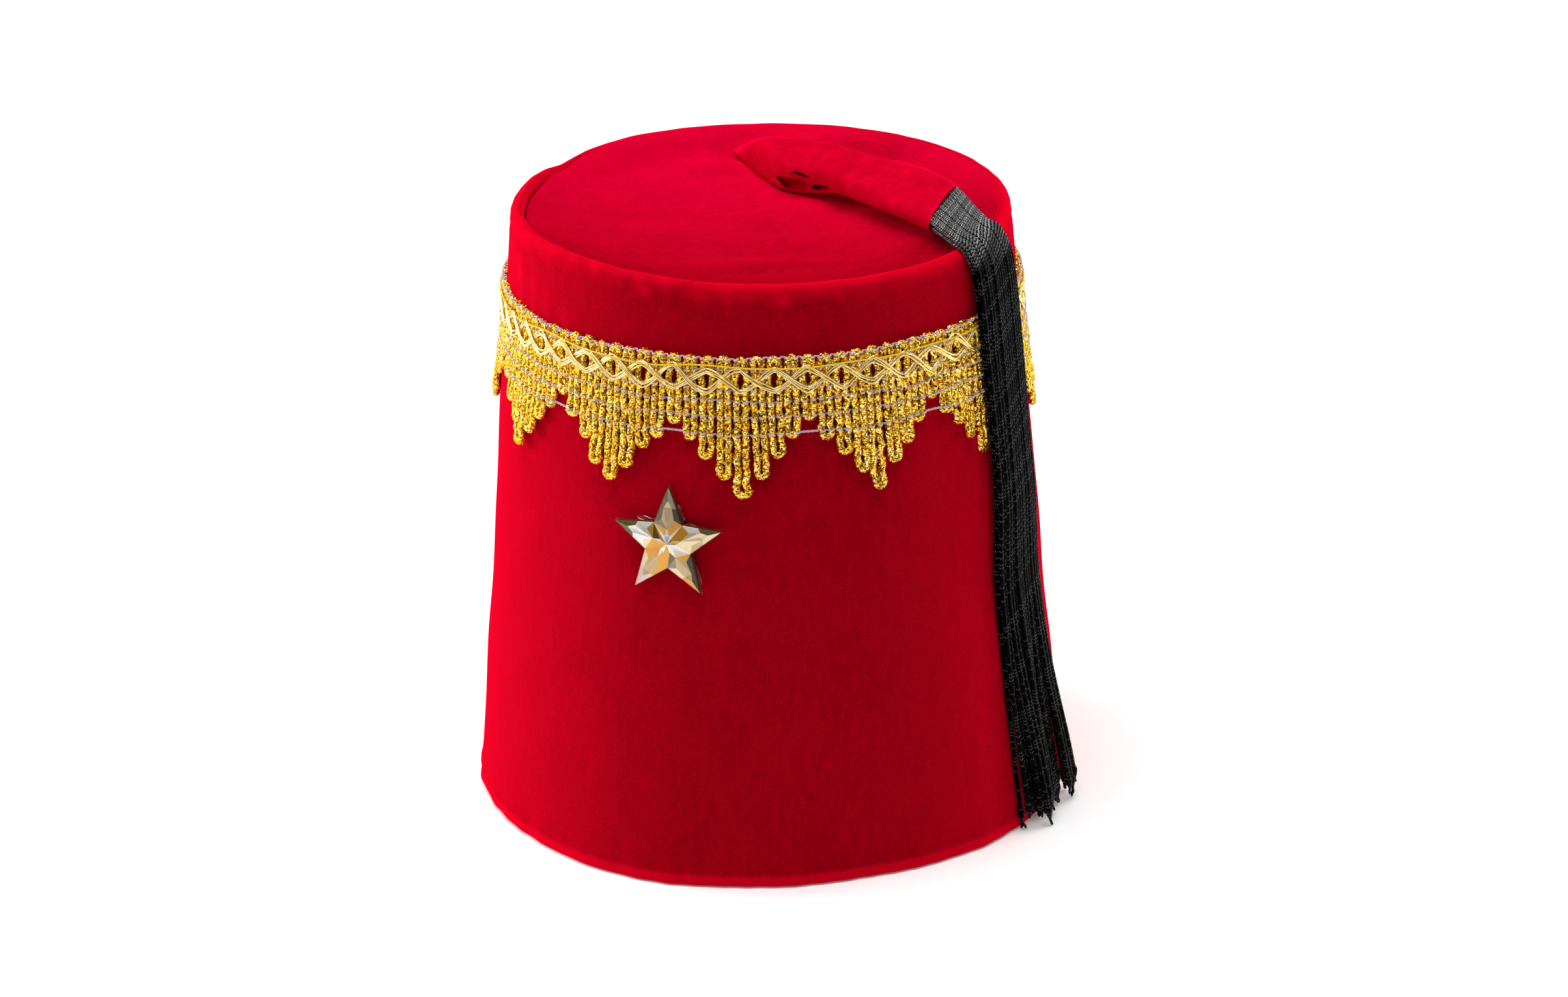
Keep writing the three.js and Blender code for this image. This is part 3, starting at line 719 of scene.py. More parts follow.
    def give_out(self, geometry: Socket, finish: Socket) -> None:
        """Makes instances real, sets their finish and ends the tree with them.

        Args:
            geometry: What the tree gives out.
            finish: Its finish.
        """
        real = self.add("GeometryNodeRealizeInstances", None, geometry=geometry).outputs[0]
        dressed = self.add("GeometryNodeSetMaterial", None, geometry=real, material=finish).outputs[0]
        self.add("NodeGroupOutput", None, i0=dressed)


def new_tree(name: str, inputs: Sequence[tuple[str, str, float]]) -> Tree:
    """Returns a new tree from one geometry to another, without its nodes.

    Args:
        name: Name of the tree.
        inputs: Name, kind and first value of each input, besides the geometry and the finish.

    Returns:
        The tree.
    """
    made = bpy.data.node_groups.new(name, "GeometryNodeTree")
    face = made.interface
    face.new_socket("Geometry", in_out="INPUT", socket_type="NodeSocketGeometry")
    for label, kind, value in inputs:
        face.new_socket(label, in_out="INPUT", socket_type="NodeSocket" + kind).default_value = value
    face.new_socket("Finish", in_out="INPUT", socket_type="NodeSocketMaterial")
    face.new_socket("Geometry", in_out="OUTPUT", socket_type="NodeSocketGeometry")
    return made


class Finish:
    """A procedural material that a subclass's nodes dress."""

    name = "finish"

    def material(self) -> Material:
        """Returns the material, made on first use."""
        made = bpy.data.materials.get(self.name)
        if made is not None:
            return made
        made = bpy.data.materials.new(self.name)
        made.use_nodes = True
        made.node_tree.nodes.clear()
        nodes = Nodes(made.node_tree)
        shader = self.dress(nodes)
        output = nodes.add("ShaderNodeOutputMaterial")
        made.node_tree.links.new(shader.outputs[0], output.inputs["Surface"])
        return made

    def dress(self, nodes: Nodes) -> Node:
        """Returns the shader node."""
        raise NotImplementedError


@dataclass(frozen=True)
class Velvet(Finish):
    """Cotton velvet: a dark ground, a bright sheen at a slant, and a nap that is brushed unevenly, with
    painted light and shade in its tone.

    Attributes:
        name: Name of the material.
        deep: Colour of the nap seen straight on.
        bright: Colour where the nap lies over, and where light is painted on.
        sheen: Colour of the sheen.
        sheen_weight: Strength of the sheen.
        sheen_roughness: Width of the sheen.
        mottle: Share of bright nap in the mottling.
        streak: Stretch of the mottling along the wall's height.
        lint: Number of specks of lint to a metre, most of which stay dark.
    """

    name: str = "brushed_velvet"
    deep: Colour = (0.055, 0.0, 0.0)
    bright: Colour = (0.46, 0.0, 0.008)
    sheen: Colour = (1.0, 0.002, 0.028)
    sheen_weight: float = 1.0
    sheen_roughness: float = 0.8
    mottle: float = 0.13
    streak: float = 0.35
    lint: float = 210.0

    def dress(self, nodes: Nodes) -> Node:
        """Returns a shader whose colour follows the nap's tone and its painted light and shade, with a
        fine nap and soft crush marks.

        Args:
            nodes: Helper on the material's nodes.

        Returns:
            The shader node.
        """
        place = nodes.place()
        stretch = (1.0, 1.0, self.streak)
        brushed = nodes.add("ShaderNodeMapping", None, vector=place, scale=stretch).outputs[0]
        broad = nodes.noise(brushed, 55.0, 3.0, 0.55)
        fine = nodes.noise(brushed, 420.0, 2.0, 0.6)
        nap = nodes.noise(place, 1700.0, 1.0)
        # The tone attribute carries the nap's tone and the light and shade painted onto each piece.
        level = nodes.attribute("tone_and_painted_light")
        for noise, weight in ((broad, 2.2), (fine, 3.0), (nap, 5.0)):
            share = nodes.math("MULTIPLY", nodes.math("SUBTRACT", noise, 0.5), self.mottle * weight)
            level = nodes.math("ADD", level, share)
        lint = nodes.add("ShaderNodeTexVoronoi", {"feature": "F1"}, vector=place, scale=self.lint)
        chance = nodes.add("ShaderNodeSeparateColor", None, color=lint.outputs["Color"]).outputs[0]
        near = nodes.math("LESS_THAN", lint.outputs["Distance"], 0.055)
        dot = nodes.math("MULTIPLY", near, nodes.math("GREATER_THAN", chance, 0.7))
        level = nodes.math("ADD", level, nodes.math("MULTIPLY", dot, 0.6))
        tint = nodes.colour(nodes.math("ADD", level, 0.3), [(0.0, self.deep), (1.0, self.bright)])
        height = nodes.math("ADD", nodes.math("MULTIPLY", fine, 0.5), nap)
        return nodes.surface(
            base_color=tint, roughness=0.95, specular_ior_level=0.0, ior=1.0,
            sheen_weight=self.sheen_weight, sheen_roughness=self.sheen_roughness,
            sheen_tint=(*self.sheen, 1),
            normal=nodes.bump(height, 0.00012),
        )


@dataclass(frozen=True)
class BlackCord(Finish):
    """Glossy black chain-stitched cord, whose stitches follow the cord.

    Attributes:
        name: Name of the material.
        pitch: Length of one stitch, in metres.
        columns: Number of stitch columns round the cord.
        roughness: Roughness of the yarn.
        lit_from: Height from which the stitch crests are painted grey as a highlight, in metres.
        lit_over: Height over which they turn grey, in metres.
        slant: Rise of a stitch from its column's middle to its edge, in stitches.
        hairs: Turn of the filaments' fine waves across a column, in radians.
        painted_glint: Brightness of the painted glints on some stitches.
    """

    name: str = "chain_stitch_cord"
    pitch: float = 0.0011
    columns: int = 4
    roughness: float = 0.28
    lit_from: float = 0.184
    lit_over: float = 0.008
    slant: float = 1.5
    hairs: float = 95.0
    painted_glint: float = 0.24

    def dress(self, nodes: Nodes) -> Node:
        """Returns a shader with slanted stitches, fine filaments, uneven gloss and painted highlights.

        Args:
            nodes: Helper on the material's nodes.

        Returns:
            The shader node.
        """
        angle, length = nodes.along_cord()
        turn = nodes.math("MULTIPLY", nodes.math("ADD", angle, math.pi), self.columns / (2 * math.pi))
        fold = nodes.math("ABSOLUTE", nodes.math("SUBTRACT", nodes.math("FRACT", turn), 0.5))
        run = nodes.math("DIVIDE", length, self.pitch)
        slant = nodes.math("ADD", run, nodes.math("MULTIPLY", fold, self.slant))
        stitch = nodes.math("ABSOLUTE", nodes.math("SINE", nodes.math("MULTIPLY", slant, math.pi)))
        groove = nodes.ramp(fold, [(0.0, 0.0), (0.12, 1.0), (0.42, 1.0), (0.5, 0.1)])
        relief = nodes.math("MULTIPLY", nodes.math("POWER", stitch, 0.6), groove)
        twisted = nodes.math("ADD", fold, nodes.math("MULTIPLY", run, 0.08))
        hair = nodes.math("SINE", nodes.math("MULTIPLY", twisted, self.hairs))
        height = nodes.math("ADD", relief, nodes.math("MULTIPLY", hair, 0.07))
        place = nodes.place()
        wear = nodes.noise(place, 900.0)
        # Painted highlight: from lit_from up, where the cords bend over the rim under the light from
        # above, the stitch crests are painted grey.
        above = nodes.math("SUBTRACT", nodes.split(place)[2], self.lit_from)
        bend = nodes.ramp(nodes.math("MULTIPLY", above, 1 / self.lit_over), [(0.0, 0.0), (1.0, 1.0)])
        cell = nodes.joined(nodes.math("FLOOR", turn), nodes.math("FLOOR", slant))
        pick = nodes.add("ShaderNodeTexWhiteNoise", None, vector=cell).outputs["Value"]
        crest = nodes.ramp(relief, [(0.66, 0.0), (0.96, 1.0)])
        tone = nodes.math("MULTIPLY", crest, nodes.math("ADD", nodes.math("MULTIPLY", pick, 0.9), 0.4))
        painted_top_highlight = nodes.math("MULTIPLY", nodes.math("MULTIPLY", tone, bend), 0.5)
        # Painted glints on some stitch crests, and a faint painted lightening of every crest.
        top = nodes.math("GREATER_THAN", relief, 0.965)
        spot = nodes.math("MULTIPLY", top, nodes.math("GREATER_THAN", pick, 0.55))
        light = nodes.math("ADD", painted_top_highlight, nodes.math("MULTIPLY", spot, self.painted_glint))
        light = nodes.math("ADD", light, nodes.math("MULTIPLY", relief, 0.0012))
        tint = nodes.add("ShaderNodeCombineColor", None, red=light, green=light, blue=light).outputs[0]
        gloss = nodes.math("ADD", nodes.math("MULTIPLY", wear, 0.2), self.roughness - 0.1)
        return nodes.surface(
            base_color=tint, roughness=gloss, specular_ior_level=0.035,
            normal=nodes.bump(height, 0.0004),
        )


@dataclass(frozen=True)
class GlitterYarn(Finish):
    """Yarn wrapped in gold glitter film, cut into small flakes that each catch the light differently.

    Attributes:
        name: Name of the material.
        flake: Number of flakes to a metre.
        tilt: How far the flakes are turned out of the yarn's face.
    """

    name: str = "glitter_yarn"
    flake: float = 1700.0
    tilt: float = 1.1

    def dress(self, nodes: Nodes) -> Node:
        """Returns a metallic shader of turned flakes in amber, gold and pale gold.

        Args:
            nodes: Helper on the material's nodes.

        Returns:
            The shader node.
        """
        place = nodes.place()
        cells = nodes.add("ShaderNodeTexVoronoi", {"feature": "F1"}, vector=place, scale=self.flake)
        chance = nodes.add("ShaderNodeSeparateColor", None, color=cells.outputs["Color"])
        tint = nodes.colour(
            chance.outputs[0],
            [(0.0, (0.12, 0.03, 0.0)), (0.14, (0.8, 0.32, 0.01)), (0.4, (1.0, 0.54, 0.03)),
             (0.72, (1.0, 0.76, 0.1)), (1.0, (1.0, 0.93, 0.46))],
        )
        turned = nodes.vectors("SUBTRACT", i0=cells.outputs["Color"], i1=(0.5, 0.5, 0.5))
        turned = nodes.vectors("SCALE", i0=turned, scale=self.tilt)
        face = nodes.add("ShaderNodeNewGeometry").outputs["Normal"]
        normal = nodes.vectors("NORMALIZE", i0=nodes.vectors("ADD", i0=face, i1=turned))
        reach = nodes.math("MINIMUM", nodes.math("MULTIPLY", cells.outputs["Distance"], 1.1), 1.0)
        edge = nodes.math("SUBTRACT", 1.0, reach)
        return nodes.surface(
            base_color=tint, metallic=1.0, roughness=0.24, specular_tint=(1.0, 0.72, 0.25, 1.0),
            normal=nodes.bump(edge, 0.0001, normal),
        )


@dataclass(frozen=True)
class GoldFilament(Finish):
    """Smooth, flat gold filament with fine lengthwise lines."""

    name: str = "gold_filament"

    def dress(self, nodes: Nodes) -> Node:
        """Returns a bright metallic shader with faint streaks.

        Args:
            nodes: Helper on the material's nodes.

        Returns:
            The shader node.
        """
        streak = nodes.noise(nodes.place(), 700.0)
        tint = nodes.colour(streak, [(0.3, (1.0, 0.66, 0.14)), (0.7, (1.0, 0.9, 0.5))])
        return nodes.surface(
            base_color=tint, metallic=0.85, roughness=0.16, normal=nodes.bump(streak, 0.0001),
        )


@dataclass(frozen=True)
class SewingThread(Finish):
    """Thin sewing thread with a twist.

    Attributes:
        name: Name of the material.
        tint: Its colour.
        roughness: Its roughness.
        twist: Turn of its two strands, in radians to a metre.
    """

    name: str = "lilac_thread"
    tint: Colour = (0.84, 0.7, 0.77)
    roughness: float = 0.4
    twist: float = 9000.0

    def dress(self, nodes: Nodes) -> Node:
        """Returns a shader with a twisted relief, painted darker in the grooves between its strands.

        Args:
            nodes: Helper on the material's nodes.

        Returns:
            The shader node.
        """
        angle, length = nodes.along_cord()
        run = nodes.math("MULTIPLY", length, self.twist)
        twist = nodes.math("ADD", nodes.math("MULTIPLY", angle, 2.0), run)
        relief = nodes.math("ADD", nodes.math("MULTIPLY", nodes.math("SINE", twist), 0.5), 0.5)
        # Painted shade in the grooves of the twist.
        dark = tuple(0.6 * part for part in self.tint)
        tint = nodes.colour(relief, [(0.0, dark), (1.0, self.tint)])
        return nodes.surface(
            base_color=tint, roughness=self.roughness, specular_ior_level=0.6,
            normal=nodes.bump(relief, 0.00006),
        )


@dataclass(frozen=True)
class ClearStone(Finish):
    """Clear acrylic with faint scratches.

    Attributes:
        name: Name of the material.
        tint: Colour that it gives to what is seen through it.
        roughness: Its roughness.
        scratches: Depth of its unevenness, in metres.
    """

    name: str = "clear_stone"
    tint: Colour = (1.0, 0.98, 0.94)
    roughness: float = 0.02
    scratches: float = 0.000004

    def dress(self, nodes: Nodes) -> Node:
        """Returns a clear shader.

        Args:
            nodes: Helper on the material's nodes.

        Returns:
            The shader node.
        """
        marks = nodes.noise(nodes.place(), 500.0)
        return nodes.surface(
            base_color=(*self.tint, 1), transmission_weight=1.0, roughness=self.roughness, ior=1.49,
            normal=nodes.bump(marks, self.scratches),
        )


@dataclass(frozen=True)
class GoldFoil(Finish):
    """Thin gold foil behind the stone, whose facets are painted with the light and shade that the stone's
    facets reflect.
    """

    name: str = "gold_foil"

    def dress(self, nodes: Nodes) -> Node:
        """Returns a metallic shader whose colour follows each facet's painted reflection, with fine
        creases.

        Args:
            nodes: Helper on the material's nodes.

        Returns:
            The shader node.
        """
        crease = nodes.noise(nodes.place(), 650.0, 3.0)
        change = nodes.math("MULTIPLY", nodes.math("SUBTRACT", crease, 0.5), 0.12)
        level = nodes.math("ADD", nodes.attribute("tone_and_painted_light"), change)
        # Painted reflections: each facet's tone picks a dark, gold, pale, pink, blue or white reflection.
        tint = nodes.colour(
            level,
            [(0.0, (0.02, 0.03, 0.015)), (0.12, (0.17, 0.13, 0.03)), (0.25, (0.3, 0.27, 0.22)),
             (0.4, (0.9, 0.4, 0.01)), (0.55, (0.62, 0.46, 0.24)), (0.7, (0.95, 0.8, 0.5)),
             (0.8, (0.85, 0.6, 0.55)), (0.9, (0.55, 0.68, 0.9)), (1.0, (1.0, 0.98, 0.95))],
        )
        return nodes.surface(
            base_color=tint, metallic=0.6, roughness=0.28, normal=nodes.bump(crease, 0.00006),
        )


@dataclass(frozen=True)
class StudioFloor(Finish):
    """Plain pale studio floor."""

    name: str = "studio_floor"

    def dress(self, nodes: Nodes) -> Node:
        """Returns a matt, nearly white shader with a faint glow that keeps its shadows soft.

        Args:
            nodes: Helper on the material's nodes.

        Returns:
            The shader node.
        """
        return nodes.surface(
            base_color=(0.93, 0.93, 0.93, 1), roughness=0.9, specular_ior_level=0.2,
            emission_color=(1, 1, 1, 1), emission_strength=0.12,
        )


# Cords, threads and yarns along paths


class Weaver:
    """Turns routes into round cords with Geometry Nodes."""

    TREE = "cord_along_route"

    @classmethod
    def tree(cls) -> Tree:
        """Returns the node tree, made on first use.

        Returns:
            A tree with inputs for the sides, the fuzz of the surface and the finish.
        """
        made = bpy.data.node_groups.get(cls.TREE)
        if made is not None:
            return made
        made = new_tree(
            cls.TREE, (("Sides", "Int", 8), ("Fuzz", "Float", 0.0), ("Fuzz Scale", "Float", 800.0))
        )
        nodes = Nodes(made)
        given = nodes.add("NodeGroupInput").outputs
        curve = nodes.add("GeometryNodeMeshToCurve", None, mesh=given["Geometry"]).outputs[0]
        run = nodes.add("GeometryNodeSplineParameter").outputs["Length"]
        curve = nodes.store(curve, "run", run, "FLOAT")
        circle = nodes.add(
            "GeometryNodeCurvePrimitiveCircle", None, resolution=given["Sides"], radius=1.0
        )
        spot = nodes.add("GeometryNodeInputPosition").outputs[0]
        solid = nodes.add(
            "GeometryNodeCurveToMesh", None,
            curve=curve, profile_curve=nodes.store(circle.outputs[0], "ring", spot), fill_caps=True,
            scale=nodes.stored("girth", "FLOAT"),
        ).outputs[0]
        parts = nodes.split(nodes.stored("ring"))
        ring = nodes.joined(parts[0], parts[1], nodes.stored("run", "FLOAT"))
        named = nodes.store(solid, "ring", ring)
        rough = nodes.noise(spot, given["Fuzz Scale"], 1.0)
        swell = nodes.math("MULTIPLY", nodes.math("SUBTRACT", rough, 0.5), given["Fuzz"])
        out = nodes.add("GeometryNodeInputNormal").outputs[0]
        push = nodes.vectors("SCALE", i0=out, scale=swell)
        moved = nodes.add("GeometryNodeSetPosition", None, geometry=named, offset=push).outputs[0]
        soft = nodes.add("GeometryNodeSetShadeSmooth", None, geometry=moved).outputs[0]
        nodes.give_out(soft, given["Finish"])
        return made

    @staticmethod
    def routes_mesh(
        name: str, routes: Sequence[Array], girths: Sequence[Array], closed: bool
    ) -> Mesh:
        """Returns a mesh of edges along all routes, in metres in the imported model's frame.

        Args:
            name: Name of the mesh.
            routes: Points of each route, in millimetres round the axis.
            girths: Radius of the cord at each point, in millimetres.
            closed: Whether each route closes on itself.

        Returns:
            The mesh with its girth attribute.
        """
        mesh = bpy.data.meshes.new(name)
        edges: list[tuple[int, int]] = []
        first = 0
        for route in routes:
            count = len(route)
            edges += [(first + i, first + i + 1) for i in range(count - 1)]
            if closed:
                edges.append((first + count - 1, first))
            first += count
        points = np.concatenate(list(routes)) * MM + AXIS
        mesh.from_pydata(points.tolist(), edges, [])
        girth = mesh.attributes.new("girth", "FLOAT", "POINT")
        girth.data.foreach_set("value", (np.concatenate(list(girths)) * MM).astype(np.float32))
        return mesh

    @classmethod
    def weave(
        cls, name: str, routes: Sequence[Array], girths: Sequence[Array], finish: Finish,
        sides: int = 8, fuzz: float = 0.0, fuzz_scale: float = 800.0, closed: bool = False,
    ) -> Piece:
        """Makes one piece of cords along routes.

        Args:
            name: Name of the piece.
            routes: Points of each route, in millimetres round the axis.
            girths: Radius of the cord at each point, in millimetres.
            finish: Its finish.
            sides: Number of sides round a cord.
            fuzz: Depth of the uneven surface, in millimetres.
            fuzz_scale: Number of bumps to a metre.
            closed: Whether each route closes on itself.

        Returns:
            The piece as a plain mesh.
        """
        mesh = cls.routes_mesh(name + "_routes", routes, girths, closed)
        values = {"Sides": sides, "Fuzz": fuzz * MM, "Fuzz Scale": fuzz_scale}
        return grown(name, mesh, cls.tree(), values, finish)


def grown(
    name: str, mesh: Mesh, tree: Tree, values: dict[str, object], finish: Finish
) -> Piece:
    """Runs a Geometry Nodes tree on a mesh and keeps the result as a plain mesh.

    Args:
        name: Name of the piece.
        mesh: The mesh that the tree starts from.
        tree: The tree.
        values: Its inputs by name.
        finish: The piece's finish.

    Returns:
        The new piece.
    """
    seed = bpy.data.objects.new(name + "_seed", mesh)
    bpy.context.scene.collection.objects.link(seed)
    modifier = seed.modifiers.new("grow", "NODES")
    modifier.node_group = tree
    items = tree.interface.items_tree
    sockets = {item.name: item.identifier for item in items if item.in_out == "INPUT"}
    for key, value in {**values, "Finish": finish.material()}.items():
        modifier[sockets[key]] = value
    seed.update_tag()
    depsgraph = bpy.context.evaluated_depsgraph_get()
    made = bpy.data.meshes.new_from_object(seed.evaluated_get(depsgraph), depsgraph=depsgraph)
    made.name = name
    seed.modifiers.clear()
    bpy.data.objects.remove(seed)
    return mesh_object(name, made, finish.material())


def placed(piece: Piece, slot: str, *nodes: str) -> Piece:
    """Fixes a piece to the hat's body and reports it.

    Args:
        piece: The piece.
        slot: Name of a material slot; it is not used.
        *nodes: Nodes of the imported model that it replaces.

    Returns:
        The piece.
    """
    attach(piece, BODY)
    if nodes:
        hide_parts(*nodes)
    LOG.info("%s: %d faces", piece.name, len(piece.data.polygons))
    return piece


# Velvet pieces


@dataclass(frozen=True)
class WallPiece:
    """The tapered wall with its padded rim and turned-up hem.

    Attributes:
        form: The hat's form.
        columns: Number of columns round the wall.
        hem_proud: How far the doubled hem stands out, in millimetres.
        finish: The velvet.
    """

    form: HatForm = FORM
    columns: int = 400
    hem_proud: float = 0.35
    finish: Velvet = Velvet()
    # Azimuth, width, lowest and highest point of each brushed streak of the nap, painted brighter as a
    # sheen streak
    STREAKS = (
        (-72, 3.0, 140, 186), (-63, 1.6, 150, 184), (-57.5, 1.3, 146, 181), (-50, 1.8, 152, 178),
        (-41, 1.3, 156, 172),
    )
    # Inset, height and brightness of the hem's edge, whose fuzz is painted brighter as a sheen highlight,
    # and largest inset of the outer face
    HEM_EDGE = ((2.0, 0.0, 0.8), (1.2, 0.05, 1.3), (0.5, 0.35, 1.4), (0.0, 0.9, 1.1))
    OUTER_INSET = 2.3

    def profile(self) -> Array:
        """Returns rows of inset, height and brightness of the nap, with its painted highlights and shades,
        up the outside and down the inside.
        """
        form = self.form
        rows: list[tuple[float, float, float]] = list(self.HEM_EDGE)
        rows += [(-self.hem_proud, height, 1.0) for height in np.linspace(1.5, 2.9, 4)]
        rows += [(-self.hem_proud * 0.9, 3.4, 0.7), (-self.hem_proud * 0.3, 4.0, 0.25), (0.0, 4.6, 0.0)]
        rows += [(0.0, height, 0.0) for height in np.linspace(6.0, form.height - 9.0, 84)]
        roll = form.rim_roll_width / 2
        # The row just under the rim's roll holds a faint painted shade.
        for inset, drop, tone_and_painted_light in ((0.0, 7.0, 0.0), (0.25, 5.6, -0.04), (0.3, 4.6, 0.0)):
            rows.append((inset, form.height - drop, tone_and_painted_light))
        for turn in np.linspace(-10, 190, 21):
            angle = math.radians(turn)
            rise = max(0.0, math.sin(angle))
            inset = roll * (1 - math.cos(angle))
            rows.append((inset, form.height - roll * (1 - math.sin(angle)), 0.12 * rise))
        bottom = form.height - form.rim_roll_depth
        # A faint painted shade under the roll, on the inside.
        rows.append((form.rim_roll_width, bottom, -0.05))
        rows.append((form.wall_thickness, bottom - form.rim_roll_width, 0.0))
        for height in np.linspace(bottom - 8, form.hem_roll_height + 2, 20):
            rows.append((form.wall_thickness, height, 0.0))
        rows += [(form.hem_roll_width, form.hem_roll_height, 0.0), (form.hem_roll_width, 0.9, 0.0)]
        rows.append((form.hem_roll_width - 0.9, 0.0, 0.2))
        return np.array(rows)

    def nap_and_painted_light(self, azimuth: Array, height: Array, grid: Array) -> Array:
        """Returns what the brushed and rubbed nap and painted sheen and shade add to the brightness of the
        outer face.

        Args:
            azimuth: Azimuth of the columns.
            height: Height of the rows.
            grid: Points of the wall.

        Returns:
            The added brightness at each point.
        """
        top = self.form.height
        ragged = 0.42 + 0.25 * Ripple(9, 15)(grid * [1, 1, 0.4])
        added = np.zeros(grid.shape[:-1])
        # Streaks of painted sheen along the brushed nap.
        for place, width, low, high in self.STREAKS:
            run = smooth(height, low, low + 9) * (1 - smooth(height, high - 9, high))
            added = added + bell(azimuth, place, width) * run * ragged
        patchy = Ripple(14, 16)(grid)
        rubbed = 0.36 + 0.3 * bell(azimuth, 35, 60) + 0.12 * patchy
        added = added + smooth(height + 0.8 * patchy, top - 6.5, top - 2.5) * rubbed
        # Painted shade: darker on the upper left below the rim, and darker round the front.
        painted_shade_left = bell(azimuth, -64, 16) * smooth(height, 130, 160)
        return added - 0.11 * bell(azimuth, 8, 50) - 0.14 * painted_shade_left

    def build(self) -> Piece:
        """Returns the wall."""
        form, rows = self.form, self.profile()
        azimuth = np.linspace(-180, 180, self.columns, endpoint=False)[None, :]
        inset, height, tone_and_painted_light = (rows[:, k][:, None] for k in range(3))
        near_rim = smooth(height, form.height * 0.7, form.height - form.rim_roll_depth)
        tall = height + form.rim_lift(azimuth) * near_rim
        outside = np.where(inset <= self.OUTER_INSET, 1.0, 0.0)
        grid = around(azimuth, form.wall_radius(azimuth, height), tall)
        middle = np.sin(np.clip(height / form.height, 0, 1) * math.pi)
        slack = Ripple(70, 11)(grid) * 0.28 * middle * outside
        edge = Ripple(16, 12)(grid) * 0.16 * smooth(height, form.height - 12, form.height)
        edge = edge + Ripple(19, 13)(grid * [1, 1, 0]) * 0.3 * (1 - smooth(height, 3, 12)) * outside
        points = around(azimuth, form.wall_radius(azimuth, height) - inset + slack + edge, tall)
        shade = tone_and_painted_light + Ripple(24, 14)(grid) * 0.02 + self.nap_and_painted_light(azimuth, height, grid) * outside
        turn = np.linspace(0, 2 * math.pi * form.hem_radius * MM, self.columns + 1)
        steps = np.hypot(np.diff(rows[:, 0]), np.diff(rows[:, 1]))
        length = np.concatenate([[0], np.cumsum(steps)]) * MM
        shell = ShellBuilder()
        shell.add_grid(points, turn, np.append(length, length[-1] + 0.002), shade, (True, True))
        return placed(shell.build("velvet_wall", self.finish.material()), "wall_velvet", "side_wall")


